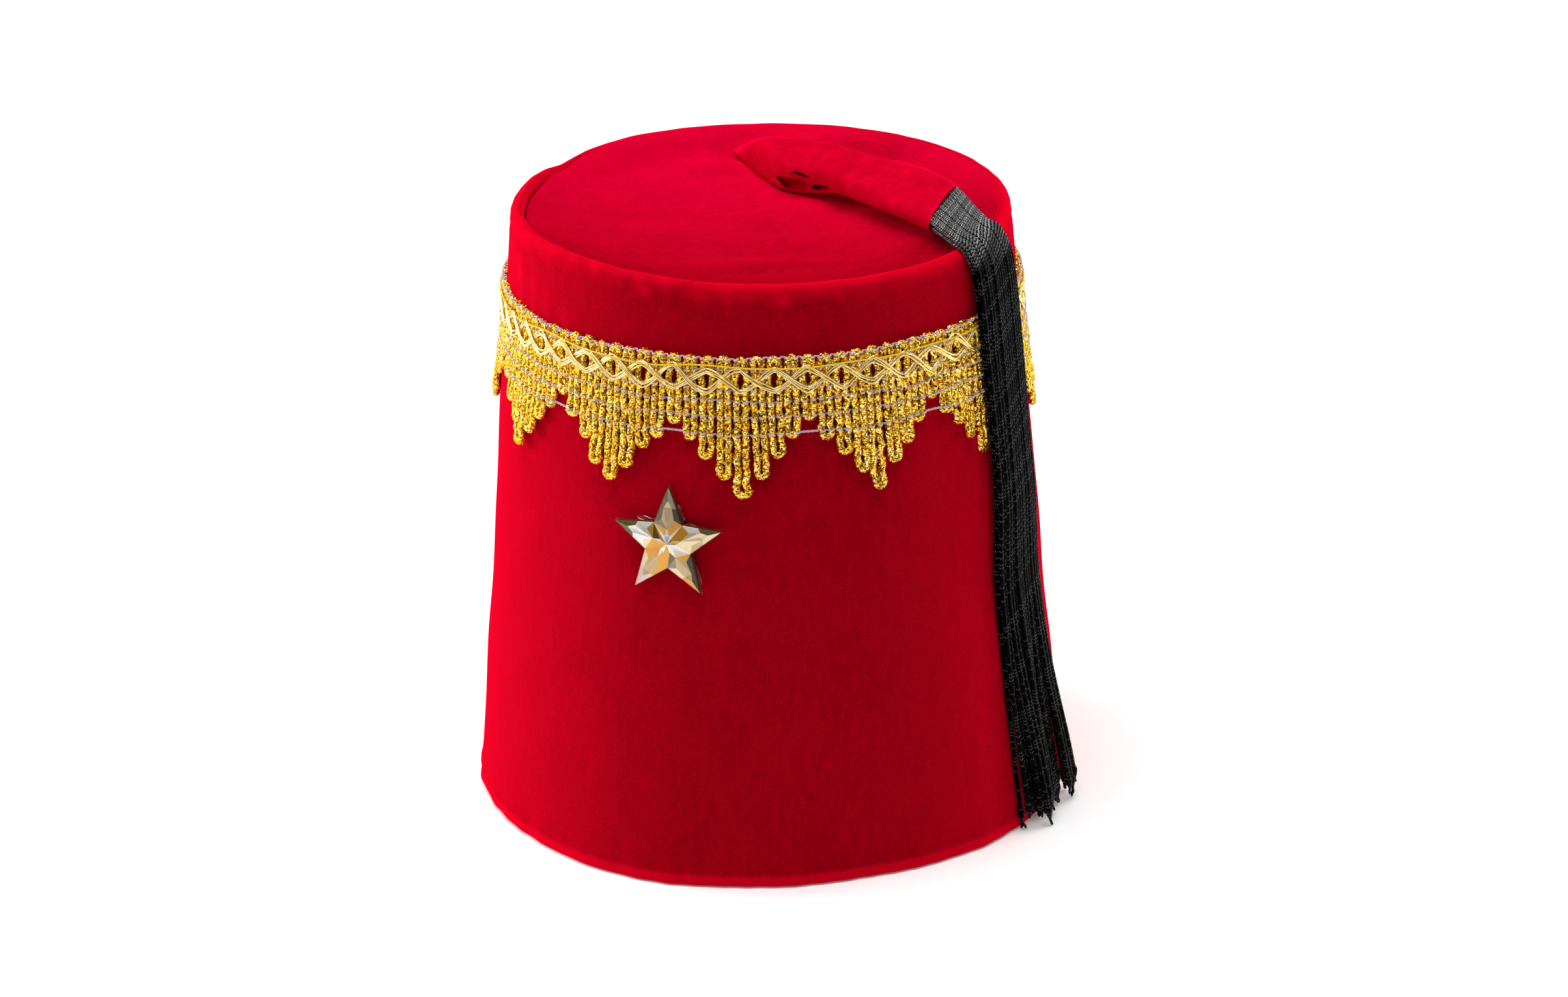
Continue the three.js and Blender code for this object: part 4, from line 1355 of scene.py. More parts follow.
@dataclass(frozen=True)
class CrownPiece:
    """The slack crown, sunken inside the rim.

    Attributes:
        form: The hat's form.
        columns: Number of columns round the crown.
        rings: Number of rings of its upper face.
        pull: How far the cloth is pulled up beside the sleeve, in millimetres.
        raise_edge: How far its edge stands higher round the back, in millimetres.
        finish: The velvet: a copy of the wall's with lighter colours and half its sheen, painted lighter
            for the light that the crown catches.
    """

    form: HatForm = FORM
    columns: int = 300
    rings: int = 110
    pull: float = 3.6
    raise_edge: float = 2.25
    # A lighter copy of the wall's velvet: painted light.
    finish: Velvet = Velvet(
        name="crown_velvet_painted_lighter", deep=(0.1, 0.0, 0.001), bright=(0.62, 0.0, 0.03),
        sheen_weight=0.5, mottle=0.09, streak=1.0,
    )
    # Right and back of a point on the sleeve's near edge, and the way out from that edge
    PULL_AT = (24.0, 13.3)
    PULL_WAY = (0.865, 0.502)

    def pulled(self, right: Array, back: Array) -> Array:
        """Returns how far the cloth is pulled up beside the sleeve's near edge.

        Args:
            right: Place to the right of the axis.
            back: Place behind the axis.

        Returns:
            The height in millimetres.
        """
        from_right, from_back = right - self.PULL_AT[0], back - self.PULL_AT[1]
        beside = from_right * self.PULL_WAY[0] + from_back * self.PULL_WAY[1]
        below = from_right * self.PULL_WAY[1] - from_back * self.PULL_WAY[0]
        return self.pull * bell(beside, 3, 11) * smooth(below, -6, 16) * (1 - smooth(below, 48, 62))

    def nap_and_painted_light(self, grid: Array) -> Array:
        """Returns the brightness of the nap, painted brighter towards the back as light and darker near
        the front rim and behind the sleeve as shade.

        Args:
            grid: Points of the crown.

        Returns:
            The brightness at each point.
        """
        right, back = grid[..., 0], grid[..., 1]
        share = np.hypot(right, back) / self.form.crown_radius
        # Painted light and shade: the brushed value is lighter towards the back and darker near the front
        # rim; the patch behind the sleeve is painted darker.
        near_front = smooth(share, 0.55, 0.95) * smooth(-back, 10, 50)
        brushed = np.clip(0.065 + 0.0066 * (back + 13) - 0.2 * near_front, -0.3, 0.45)
        behind = bell(right, 36, 22) * bell(back, 50, 20)
        return brushed - 0.26 * behind + Ripple(18, 24)(grid * [1, 1, 0]) * 0.02

    def build(self) -> Piece:
        """Returns the crown."""
        form = self.form
        azimuth = np.linspace(-180, 180, self.columns, endpoint=False)[None, :]
        shares = np.linspace(1, 0.012, self.rings)[:, None]
        flat = around(azimuth, form.crown_radius * shares, 0.0)
        right, back = flat[..., 0], flat[..., 1]
        fine = Ripple(34, 21)(flat) * 0.32 + Ripple(12, 22)(flat) * 0.07
        pucker = Ripple(7, 23)(flat) * 0.16 * smooth(shares, 0.86, 1.0)
        tucked = bell(np.hypot(right + 9, back - 60), 0, 5) * -0.8
        uneven = (fine + pucker) * np.clip(1 - shares**10, 0, 1)
        top = form.crown_top(right, back) + uneven + tucked + self.pulled(right, back)
        round_back = smooth(azimuth, 70, 112) + smooth(-azimuth, 104, 132)
        raised = round_back * smooth(shares, 0.84, 1.0)
        top = top + self.raise_edge * raised - 0.5 * smooth(shares, 0.975, 1.0) * (1 - raised)
        wider = 1 + 0.03 * raised * smooth(shares, 0.95, 1.0)
        upper = np.stack([right * wider, back * wider, top], -1)
        under_shares = np.linspace(0.02, 1, 26)[:, None]
        under_flat = around(azimuth, form.crown_radius * under_shares, 0.0)
        under_z = form.crown_top(under_flat[..., 0], under_flat[..., 1]) - form.crown_thickness
        under = np.stack([under_flat[..., 0], under_flat[..., 1], under_z], -1)
        side = mix(under[-1:], upper[:1], 0.5)
        grid = np.concatenate([under, side, upper])
        turn = np.linspace(0, 2 * math.pi * form.crown_radius * MM, self.columns + 1)
        run = np.linspace(0, 2 * form.crown_radius * MM, len(grid))
        shell = ShellBuilder()
        first = shell.add_grid(grid, turn, run, self.nap_and_painted_light(grid))
        last = first + (len(grid) - 1) * self.columns
        middle = np.array([0, 0, float(top[-1].mean())])
        shell.add_fan(last, self.columns, middle, run[-1:].repeat(2), False)
        shell.add_fan(first, self.columns, middle - [0, 0, form.crown_thickness], run[:1].repeat(2), True)
        return placed(shell.build("velvet_crown", self.finish.material()), "crown_velvet", "crown_top")


@dataclass(frozen=True)
class SleevePiece:
    """The folded velvet strip that holds the head of the tassel.

    Attributes:
        form: The hat's form.
        columns: Number of points round the sleeve.
        stations: Number of sections along it.
        finish: The velvet: a copy of the wall's with lighter colours and half its sheen, painted lighter
            for the light that the sleeve catches.
    """

    form: HatForm = FORM
    columns: int = 180
    stations: int = 220
    # A lighter copy of the wall's velvet: painted light.
    finish: Velvet = Velvet(
        name="sleeve_velvet_painted_lighter", deep=(0.2, 0.0, 0.004), bright=(0.8, 0.0, 0.035),
        sheen_weight=0.5, mottle=0.1, streak=1.0,
    )
    # Openings of the rolled fold in its near face: middle, height above the crown, half length and
    # half height, slope and depth, in millimetres
    HOLLOWS = (
        (11.3, 3.1, 4.2, 2.35, 0.0, 6.5),
        (13.2, 6.9, 2.6, 0.45, -0.24, 5.0),
        (19.4, 3.1, 2.8, 1.1, -0.2, 7.0),
    )
    # Powers that round the section: lower ones make it more like a box
    ROUND_ACROSS = 0.448
    ROUND_UP = 0.8

    def outline(self, inset_across: float = 0.0, inset_up: float = 0.0) -> tuple[Array, Array]:
        """Returns the section of the sleeve, drawn as a flat rounded ring.

        Args:
            inset_across: Share of the width by which the ring is narrower on each side.
            inset_up: Share of the height by which it is lower at the top and the bottom.

        Returns:
            The across and the up share of each point.
        """
        angle = -np.linspace(0, 2 * math.pi, self.columns, endpoint=False)
        level, tall = np.cos(angle), np.sin(angle)
        across = 0.5 - (0.5 - inset_across) * np.sign(level) * np.abs(level) ** self.ROUND_ACROSS
        up = 0.5 + (0.5 - inset_up) * np.sign(tall) * np.abs(tall) ** self.ROUND_UP
        return across, up

    def sink(self, along: Array, across: Array, level: Array) -> Array:
        """Returns how deep the hollows of the fold go.

        Args:
            along: Share of the way from the fold to the mouth.
            across: Share of the way from the near to the far edge.
            level: Height above the crown, in millimetres.

        Returns:
            The depth at each point, in millimetres.
        """
        right = self.form.sleeve_point(along, 0, 0.5)[..., 0]
        near = 1 - smooth(across, 0.03, 0.2)
        sink = np.zeros_like(level)
        for middle, rise, long, high, slope, deep in self.HOLLOWS:
            aside = right - middle
            reach = np.hypot(aside / long, (level - rise - slope * aside) / high)
            sink = np.maximum(sink, (1 - smooth(reach, 0.82, 1.1)) * deep * near)
        return sink

    def build(self) -> Piece:
        """Returns the sleeve, with the hollow of its fold and the pocket for the tassel."""
        form = self.form
        across, up = self.outline()
        along = (np.linspace(0, 1, self.stations) ** 1.3)[:, None]
        outer = form.sleeve_point(along, across[None, :], up[None, :])
        width = np.linalg.norm(form.sleeve_point(along, 1, 0) - form.sleeve_point(along, 0, 0), axis=-1)
        floor = form.sleeve_point(along, across[None, :], 0)[..., 2]
        tall = form.sleeve_point(along, across[None, :], 1)[..., 2] - floor
        sink = self.sink(along, across[None, :], up[None, :] * tall)
        edge = unit(form.sleeve_point(along, 1, 0.5) - form.sleeve_point(along, 0, 0.5))
        outer = outer + edge * sink[..., None]
        soft = Ripple(24, 31)(outer) * 0.3 + Ripple(9, 32)(outer) * 0.05
        outer[..., 2] += soft * smooth(up, 0.55, 0.9)[None, :] * smooth(along, 0.02, 0.12)
        undercut = (1 - smooth(across, 0, 0.12)) * (1 - smooth(up, 0.0, 0.45))
        outer[..., 2] += undercut[None, :] * 0.4 * smooth(along, 0.26, 0.4)
        inset = (form.sleeve_cloth / form.mouth_width, form.sleeve_cloth / (form.sleeve_height * 0.8))
        in_across, in_up = self.outline(*inset)
        back_along = np.linspace(1.0, form.pocket_start, 16)[:, None]
        inner = form.sleeve_point(back_along, in_across[None, :], in_up[None, :])
        lip = mix(outer[-1:], inner[:1], 0.5)
        mouth_way = unit(form.sleeve_point(1, 0.5, 0.5) - form.sleeve_point(0.95, 0.5, 0.5))
        lip = lip + mouth_way * 0.6
        grid = np.concatenate([outer, lip, inner])
        turn = np.linspace(0, 2 * float(width.mean()) * MM, self.columns + 1)
        run = np.linspace(0, 0.1, len(grid))
        shade = Ripple(13, 33)(grid) * 0.05
        # Painted highlight along the far upper edge.
        shade[: self.stations] += (bell(across, 0.94, 0.06) * 0.7 * smooth(up, 0.6, 0.85))[None, :]
        # Painted shade on the near face.
        shade[: self.stations] -= 0.16 * (1 - smooth(across, 0.0, 0.14))[None, :]
        # Painted highlight on the fuzzy lip of the mouth.
        shade[self.stations - 4 : self.stations + 1] += 0.35
        # Painted shade inside the hollows of the fold.
        shade[: self.stations] -= np.clip(sink, 0, 1) * 0.3
        shell = ShellBuilder()
        first = shell.add_grid(grid, turn, run, shade)
        shell.add_fan(first, self.columns, outer[0].mean(0), (0, 0), True)
        last = first + (len(grid) - 1) * self.columns
        shell.add_fan(last, self.columns, inner[-1].mean(0), (0, 0), False)
        piece = shell.build("velvet_sleeve", self.finish.material())
        return placed(piece, "crown_velvet", "tassel_sleeve")


# Tassel


@dataclass(frozen=True)
class TasselPiece:
    """The black cords that leave the sleeve, bend over the rim and hang to the floor.

    Attributes:
        form: The hat's form.
        cords: Number of cords of the outer layer.
        girth: Radius of a cord, in millimetres.
        steps: Number of points along a cord.
        seed: Start of the random differences.
        finish: The cord's finish.
    """

    form: HatForm = FORM
    cords: int = 15
    girth: float = 0.88
    steps: int = 190
    seed: int = 41
    finish: BlackCord = BlackCord()
    # Radius of a bare strand from its root to its end, in millimetres
    HAIR_GIRTHS = (0.5, 0.42, 0.4, 0.46, 0.24)

    def routes(self) -> tuple[list[Array], list[Array]]:
        """Returns the routes and girths of all cords."""
        chance = np.random.default_rng(self.seed)
        routes, girths = [], []
        for layer, count in ((1, self.cords), (-1, self.cords - 1)):
            for i in range(count):
                across = (i + 0.5) / count
                route, girth = self.cord(across, layer, chance)
                routes.append(route)
                girths.append(girth)
        return routes, girths

    def cord(self, across: float, layer: int, chance: np.random.Generator) -> tuple[Array, Array]:
        """Returns the route and girth of one cord.

        Args:
            across: Its place from the near to the far edge.
            layer: 1 for the outer and -1 for the inner layer.
            chance: Source of the random differences.

        Returns:
            The points in millimetres and the radius at each of them.
        """
        shifts = (-0.03, 0.0, 0.03)
        routes = [self.form.cord_route(across + shift) for shift in shifts]
        low, middle, high = (through(route, self.steps) for route in routes)
        along = unit(np.gradient(middle, axis=0))
        aside = unit(high - low)
        normal = unit(np.cross(along, aside))
        share = np.linspace(0, 1, self.steps)
        hang = smooth(share, 0.3, 1.0)
        loose = smooth(share, 0.55, 1.0) ** 2.2
        wander = sum(
            np.sin(share * 2 * math.pi * wave + chance.uniform(0, 6.28)) * chance.uniform(0.4, 1.0) / wave
            for wave in (2, 3, 5)
        )
        swing = chance.uniform(0.0, 1.0) ** 2.0 * 5.5 * (1 if layer > 0 else 0.3)
        sway = chance.normal() * 1.8 - 2.0 * (across - 0.5)
        deep = layer * 0.86 + chance.uniform(-0.25, 0.25)
        off = deep * (1 + 0.3 * hang * chance.uniform(-1, 1)) + swing * loose
        slide = wander * mix(0.18, 0.75, hang) + sway * loose
        points = middle + normal * off[:, None] + aside * slide[:, None]
        cut = chance.uniform(0.0, 5.5)
        points[:, 2] += cut * smooth(share, 0.4, 1.0)
        points[:, 2] = np.maximum(points[:, 2], self.girth + 0.15)
        run = np.concatenate([[0], np.cumsum(np.linalg.norm(np.diff(points, axis=0), axis=1))])
        left = run[-1] - run
        knot = bell(left, 3.2, 1.1) * 0.55 + bell(left, 0.0, 0.9) * -0.55
        girth = self.girth * (chance.uniform(0.93, 1.07) + knot + 0.03 * np.sin(run * 3.1))
        return points, girth

    def frays(self, routes: Sequence[Array]) -> tuple[list[Array], list[Array]]:
        """Returns short bare strands that stick out of the cords' ends.

        Args:
            routes: Points of each cord.

        Returns:
            The points and the radii of each strand.
        """
        chance = np.random.default_rng(self.seed + 1)
        hairs, girths = [], []
        for route in routes:
            tip, way = route[-1], unit(route[-1] - route[-4])
            for _ in range(chance.integers(1, 4)):
                bend = unit(way + chance.normal(size=3) * 0.5)
                length = chance.uniform(1.0, 3.0)
                share = np.linspace(0, 1, 5)[:, None]
                hair = tip + way * share * length * 0.5 + bend * share**1.5 * length * 0.6
                hair[:, 2] = np.maximum(hair[:, 2], 0.2)
                hairs.append(hair)
                girths.append(np.array(self.HAIR_GIRTHS))
        return hairs, girths

    def build(self) -> None:
        """Makes the cords and their frayed ends."""
        routes, girths = self.routes()
        cords = Weaver.weave(
            "tassel_cords", routes, girths, self.finish, sides=10, fuzz=0.12, fuzz_scale=900.0
        )
        placed(cords, "black_cord", "tassel")
        hairs, thin = self.frays(routes)
        placed(Weaver.weave("tassel_frays", hairs, thin, self.finish, sides=6), "black_cord")


# Gold trim


@dataclass(frozen=True)
class TrimPiece:
    """The gold trim: glitter loops, a header with zigzag filaments and the threads that hold them.

    Attributes:
        form: The hat's form.
        loops: Number of loops round the hat.
        tip: Azimuth of one scallop's longest loop.
        yarn: Radius of the yarn, in millimetres.
        sunk: How far the yarn is pressed into the pile.
        yellow_height: Height of the yellow thread.
        seed: Start of the random differences.
    """

    form: HatForm = FORM
    loops: int = 100
    tip: float = -5.0
    yarn: float = 1.2
    sunk: float = 0.5
    yellow_height: float = 166.3
    seed: int = 51
    # Length of a scallop's eight loops, as shares of the longest
    SCALLOP = (0.304, 0.465, 0.638, 0.824, 1.0, 0.824, 0.638, 0.465)
    # Heights of the rows of chain thread
    THREADS = (169.0, 165.3, 159.5, 155.7, 150.9, 145.6)

    def azimuth(self, column: float) -> Array:
        """Returns the azimuth of a column's middle."""
        turned = self.tip + 360 / self.loops * (np.asarray(column, float) - self.loops / 2)
        return (turned + 540) % 360 - 180

    def bottom(self, index: int) -> float:
        """Returns the height of a loop's tip."""
        place = (index - self.loops // 2 + 4) % len(self.SCALLOP)
        return self.form.header_bottom - self.form.fringe_length * self.SCALLOP[place]

    def on_wall(self, column: Array, height: Array, off: Array) -> Array:
        """Returns points off the wall, by column, height and distance.

        Args:
            column: Place along the trim, in loops.
            height: Height above the floor.
            off: Distance from the wall.

        Returns:
            The points in millimetres.
        """
        azimuth = self.azimuth(column)
        radius = self.form.wall_radius(azimuth, height) + self.form.flare(azimuth, height)
        aside = smooth(np.abs(azimuth), 55, 85)
        return around(azimuth, radius + off - self.sunk - 0.5 * aside, height)

    def loop(self, index: int, chance: np.random.Generator) -> Array:
        """Returns the closed route of one loop, from its picot down to its tip and back.

        Args:
            index: The loop's column.
            chance: Source of the random differences.

        Returns:
            The points in millimetres.
        """
        form = self.form
        pitch = 2 * math.pi * (form.rim_radius + 3) / self.loops
        bottom = self.bottom(index) + chance.uniform(-0.9, 0.9)
        top = form.trim_top + 0.95 + chance.uniform(-0.35, 0.35)
        half = 1.22 * chance.uniform(0.96, 1.06)
        lean = chance.normal() * 0.55
        swell = chance.uniform(0.0, 0.3) ** 2 * 3
        sides = []
        for side in (-1, 1):
            height = np.linspace(top - self.yarn - 0.7, bottom + self.yarn + half * 0.9, 26)
            fall = np.clip((form.header_bottom - height) / form.fringe_length, 0, 1)
            wave = Ripple(9, self.seed + 3 * index + side)(height[:, None]) * 0.22
            window = bell(height, 162.3, 2.4) * (0.6 if index % 2 == 0 else -0.5) * side
            near_tip = bell(height, bottom + 3.5, 2.6) * swell
            slide = side * (half + near_tip) + lean * fall + wave + window
            lift = Ripple(12, self.seed + 5 * index)(height[:, None]) * 0.22 * (0.4 + fall)
            off = self.yarn + 0.12 + lift
            sides.append(np.stack([slide, height, off], -1))
        tip, cap = self.bend(sides, -1, -half), self.bend(sides, 0, half)
        ring = np.concatenate([sides[0], tip, sides[1][::-1], cap])
        return self.on_wall(index + ring[:, 0] / pitch, ring[:, 1], ring[:, 2])

    @staticmethod
    def bend(sides: Sequence[Array], end: int, rise: float) -> Array:
        """Returns the round end of a loop.

        Args:
            sides: Slide, height and distance off the wall along its two sides.
            end: Which end of the sides is joined: 0 for the top, -1 for the tip.
            rise: Height of the bend, below zero at the tip.

        Returns:
            Points like the sides', in the order of the closed route.
        """
        turn = np.radians(np.linspace(15, 165, 7))
        start, stop = sides[0][end], sides[1][end]
        centre, span = (stop[0] + start[0]) / 2, math.copysign((stop[0] - start[0]) / 2, rise)
        slide, height = centre + span * np.cos(turn), start[1] + rise * 0.95 * np.sin(turn)
        return np.stack([slide, height, np.full(len(turn), start[2])], -1)

    def zigzag(self, strand: int, phase: float) -> Array:
        """Returns the closed route of one filament that zigzags along the header.

        Args:
            strand: Which of the filaments that lie side by side.
            phase: Its start in the zigzag.

        Returns:
            The points in millimetres.
        """
        count = self.loops * 10
        column = np.linspace(0, self.loops, count, endpoint=False)
        wave = np.abs(((column / 4 + phase) % 1.0) * 2 - 1)
        wave = mix(wave, wave * wave * (3 - 2 * wave), 0.55)
        line = column[:, None]
        height = 159.0 + wave * 7.0 + (strand - 1) * 0.66 + Ripple(6, self.seed + strand)(line) * 0.3
        height = height + Ripple(5, self.seed + round(phase * 10))(line) * 0.45
        lift = 2 * self.yarn + 0.35 + 0.3 * np.sin(column * math.pi / 2 + phase * 6.28)
        lift = lift + 0.12 * Ripple(2, 77 + strand)(line)
        return self.on_wall(column, height, lift)

    def thread(self, height: float, twist: float) -> Array:
        """Returns the closed route of one strand of a chain thread.

        Args:
            height: Height of its row.
            twist: Its start in the turn of the two strands.

        Returns:
            The points in millimetres.
        """
        count = self.loops * 12
        column = np.linspace(0, self.loops, count, endpoint=False)
        index = np.round(column).astype(int) % self.loops
        bottoms = np.array([self.bottom(i) for i in range(self.loops)])[index]
        between = 0.5 - 0.5 * np.cos(column * 4 * math.pi)
        rests = 2 * self.yarn + 0.05 - 1.5 * smooth(1 - between, 0.45, 1.0)
        free = smooth(height - bottoms, -1.0, 1.5)
        lift = mix(1.5, rests, free)
        turn = column * 2 * math.pi * 2.0 + twist
        level = height + 0.22 * np.sin(turn) + Ripple(9, int(height))(column[:, None]) * 0.3
        return self.on_wall(column, level, lift + 0.16 + 0.16 * np.cos(turn))

    def build(self) -> None:
        """Makes the loops, the filaments, the threads and the loose flecks of film."""
        chance = np.random.default_rng(self.seed)
        routes = [self.loop(i, chance) for i in range(self.loops)]
        girths = [np.full(len(route), self.yarn * chance.uniform(0.93, 1.06)) for route in routes]
        loops = Weaver.weave(
            "trim_loops", routes, girths, GlitterYarn(), sides=9, fuzz=0.42, fuzz_scale=1400.0, closed=True
        )
        placed(loops, "gold_yarn", "gold_trim")
        placed(self.flecks(loops), "gold_yarn")
        strands = [self.zigzag(strand, phase) for phase in (0.0, 0.5) for strand in range(3)]
        threads = [self.thread(height, twist) for height in self.THREADS for twist in (0.0, math.pi)]
        column = np.linspace(0, self.loops, self.loops * 8, endpoint=False)
        level = self.yellow_height + Ripple(14, 61)(column[:, None]) * 0.45
        yellow = self.on_wall(column, level, 2 * self.yarn + 0.5)
        bright = SewingThread(name="yellow_thread", tint=(1.0, 0.66, 0.0), roughness=0.2)
        for name, lines, girth, finish, sides in (
            ("trim_filaments", strands, 0.27, GoldFilament(), 8),
            ("trim_threads", threads, 0.17, SewingThread(), 5),
            ("trim_yellow_thread", [yellow], 0.27, bright, 7),
        ):
            thin = [np.full(len(line), girth) for line in lines]
            placed(Weaver.weave(name, lines, thin, finish, sides=sides, closed=True), "gold_yarn")

    def flecks(self, loops: Piece) -> Piece:
        """Returns small turned flecks of film spread on the yarn.

        Args:
            loops: The piece of yarn loops.

        Returns:
            The piece of flecks.
        """
        values = {"Density": 6.2e5, "Size": 0.00034, "Tilt": 1.0, "Seed": self.seed}
        film = GlitterYarn(name="gold_fleck", flake=900.0, tilt=0.5)
        return grown("trim_flecks", loops.data.copy(), fleck_tree(), values, film)


def fleck_tree() -> Tree:
    """Returns a tree that spreads small flat three-sided flecks on a surface.

    Returns:
        A tree with inputs for the density, size, tilt, seed and finish.
    """
    made = new_tree("flecks_on_surface", (
        ("Density", "Float", 0.0), ("Size", "Float", 0.0), ("Tilt", "Float", 0.0), ("Seed", "Int", 0),
    ))
    nodes = Nodes(made)
    given = nodes.add("NodeGroupInput").outputs
    spread = nodes.add(
        "GeometryNodeDistributePointsOnFaces", None,
        mesh=given["Geometry"], density=given["Density"], seed=given["Seed"],
    )
    tilt = nodes.joined(given["Tilt"], given["Tilt"], 3.14)
    turn = nodes.add(
        "FunctionNodeRandomValue", {"data_type": "FLOAT_VECTOR"},
        min=nodes.vectors("SCALE", i0=tilt, scale=-1.0), max=tilt, seed=given["Seed"],
    )
    scale = nodes.add(
        "FunctionNodeRandomValue", {"data_type": "FLOAT"}, i2=0.6, i3=1.3, seed=given["Seed"]
    )
    chip = nodes.add(
        "GeometryNodeMeshCone", None, vertices=3, radius_top=0.0, radius_bottom=given["Size"],
        depth=nodes.math("MULTIPLY", given["Size"], 0.25),
    )
    rotate = nodes.add(
        "FunctionNodeRotateRotation", {"rotation_space": "LOCAL"},
        i0=spread.outputs["Rotation"], i1=turn.outputs[0],
    )
    set_on = nodes.add(
        "GeometryNodeInstanceOnPoints", None, points=spread.outputs["Points"],
        instance=chip.outputs[0], rotation=rotate.outputs[0], scale=scale.outputs[1],
    )
    nodes.give_out(set_on.outputs[0], given["Finish"])
    return made


# Star


@dataclass(frozen=True)
class StarPiece:
    """The cut star stone with its foil back and the glue that shows round it.

    Attributes:
        form: The hat's form.
        radius: Distance of a tip from the middle, in millimetres.
        inner: Distance of a notch, as a share of the radius.
        thickness: Height of the stone.
        girdle: Height of its straight edge.
        bevel: Width of the bevel.
        drop: Distance of its middle below the trim.
        azimuth: Its place round the hat.
        foil_share: Size of the foil as a share of the stone's.
        foil_depth: Depth of the foil under the stone's face.
    """

    form: HatForm = FORM
    radius: float = 18.7
    inner: float = 0.43
    thickness: float = 3.4
    girdle: float = 1.4
    bevel: float = 0.9
    drop: float = 16.4
    azimuth: float = -20.3
    foil_share: float = 0.955
    foil_depth: float = 0.35
    # Corners of one arm's facets: share of the way to the tip and share of the half width
    NODES = {
        "spike": (0.27, 0.0), "left_spike": (0.14, -0.38), "right_spike": (0.14, 0.38),
        "notch": (0.348, 1.0), "left_low": (0.43, -0.5), "right_low": (0.43, 0.5),
        "left_high": (0.64, -0.5), "right_high": (0.64, 0.5), "peak": (0.76, 0.0),
        "left_edge": (0.62, -1.0), "right_edge": (0.62, 1.0), "tip": (1.0, 0.0),
    }
    # Share of the star's radius where its flat middle ends
    TABLE = 0.16
    # Corners of each facet of an arm, clockwise
    FACETS = (
        ("middle", "left_spike", "spike", "right_spike"),
        ("middle", "left_notch", "left_spike"), ("middle", "right_spike", "notch"),
        ("left_spike", "left_notch", "spike"), ("right_spike", "spike", "notch"),
        ("spike", "left_low", "left_high", "peak", "right_high", "right_low"),
        ("spike", "left_notch", "left_low"), ("spike", "right_low", "notch"),
        ("left_notch", "left_edge", "left_high", "left_low"),
        ("notch", "right_low", "right_high", "right_edge"),
        ("left_edge", "tip", "peak", "left_high"), ("right_edge", "right_high", "peak", "tip"),
    )
    # Painted reflection and shade of each facet, arm by arm clockwise from the top
    ARMS = ("swwaabgaodog", "bawaccacwboc", "wwacobagdcda", "waaaabaaacpp", "caaaowcawwoo")
    TONES = {"d": 0.0, "o": 0.12, "g": 0.25, "a": 0.4, "b": 0.55, "c": 0.7, "p": 0.8, "s": 0.9, "w": 1.0}
    # Glue: right and up from the middle, length, width and tilt
    GLUE = (
        (3.7, 9.2, 7.0, 1.5, -74), (7.7, 5.6, 5.4, 1.4, -14), (14.6, 5.1, 2.9, 0.5, -4),
        (-7.6, 6.4, 6.8, 1.6, -5), (8.9, -8.0, 9.4, 1.0, -72),
    )

    def on_hat(self, points: Array) -> Array:
        """Returns points of the star's own frame, with z out of its face, in the hat's frame.

        Args:
            points: The points in millimetres.

        Returns:
            The same points round the hat's axis.
        """
        height = self.form.trim_bottom - self.drop
        gap = self.form.seam_gap / math.cos(self.form.lean)
        radius = self.form.wall_radius(self.azimuth, height) + gap
        upright = Matrix.Rotation(math.pi / 2 - self.form.lean, 3, "X")
        turn = np.array(Matrix.Rotation(math.radians(self.azimuth), 3, "Z") @ upright)
        return np.asarray(points) @ turn.T + around(self.azimuth, radius, height)

    def ring(self, share: float, height: float) -> Array:
        """Returns the ten corners of a star ring.

        Args:
            share: Its size as a share of the star's.
            height: Its height over the star's back.

        Returns:
            The corners, clockwise from the top.
        """
        angle = np.arange(10) * math.pi / 5
        reach = self.radius * share * np.where(np.arange(10) % 2 == 0, 1.0, self.inner)
        return np.stack([reach * np.sin(angle), reach * np.cos(angle), np.full(10, height)], -1)

    def glass(self) -> Piece:
        """Returns the clear stone."""
        outer = 1 - self.bevel / self.radius
        rings = [
            (outer, 0.75), (1.0, 0.95), (1.0, self.girdle), (outer, self.girdle + self.bevel),
            (self.TABLE, self.thickness - 0.2),
        ]
        shell = ShellBuilder()
        grid = self.on_hat(np.stack([self.ring(share, height) for share, height in rings]))[:, ::-1]
        steps = np.linspace(0, 0.02, 11)
        first = shell.add_grid(grid, steps, np.linspace(0, 0.01, len(rings)))
        shell.add_fan(first, 10, self.on_hat(np.array([0, 0, 0.1])), (0, 0), True)
        last = first + (len(rings) - 1) * 10
        shell.add_fan(last, 10, self.on_hat(np.array([0, 0, self.thickness])), (0, 0), False)
        piece = shell.build("star_glass", ClearStone().material())
        piece.data.polygons.foreach_set("use_smooth", np.zeros(len(piece.data.polygons), bool))
        return placed(piece, "cut_stone", "star_stone")

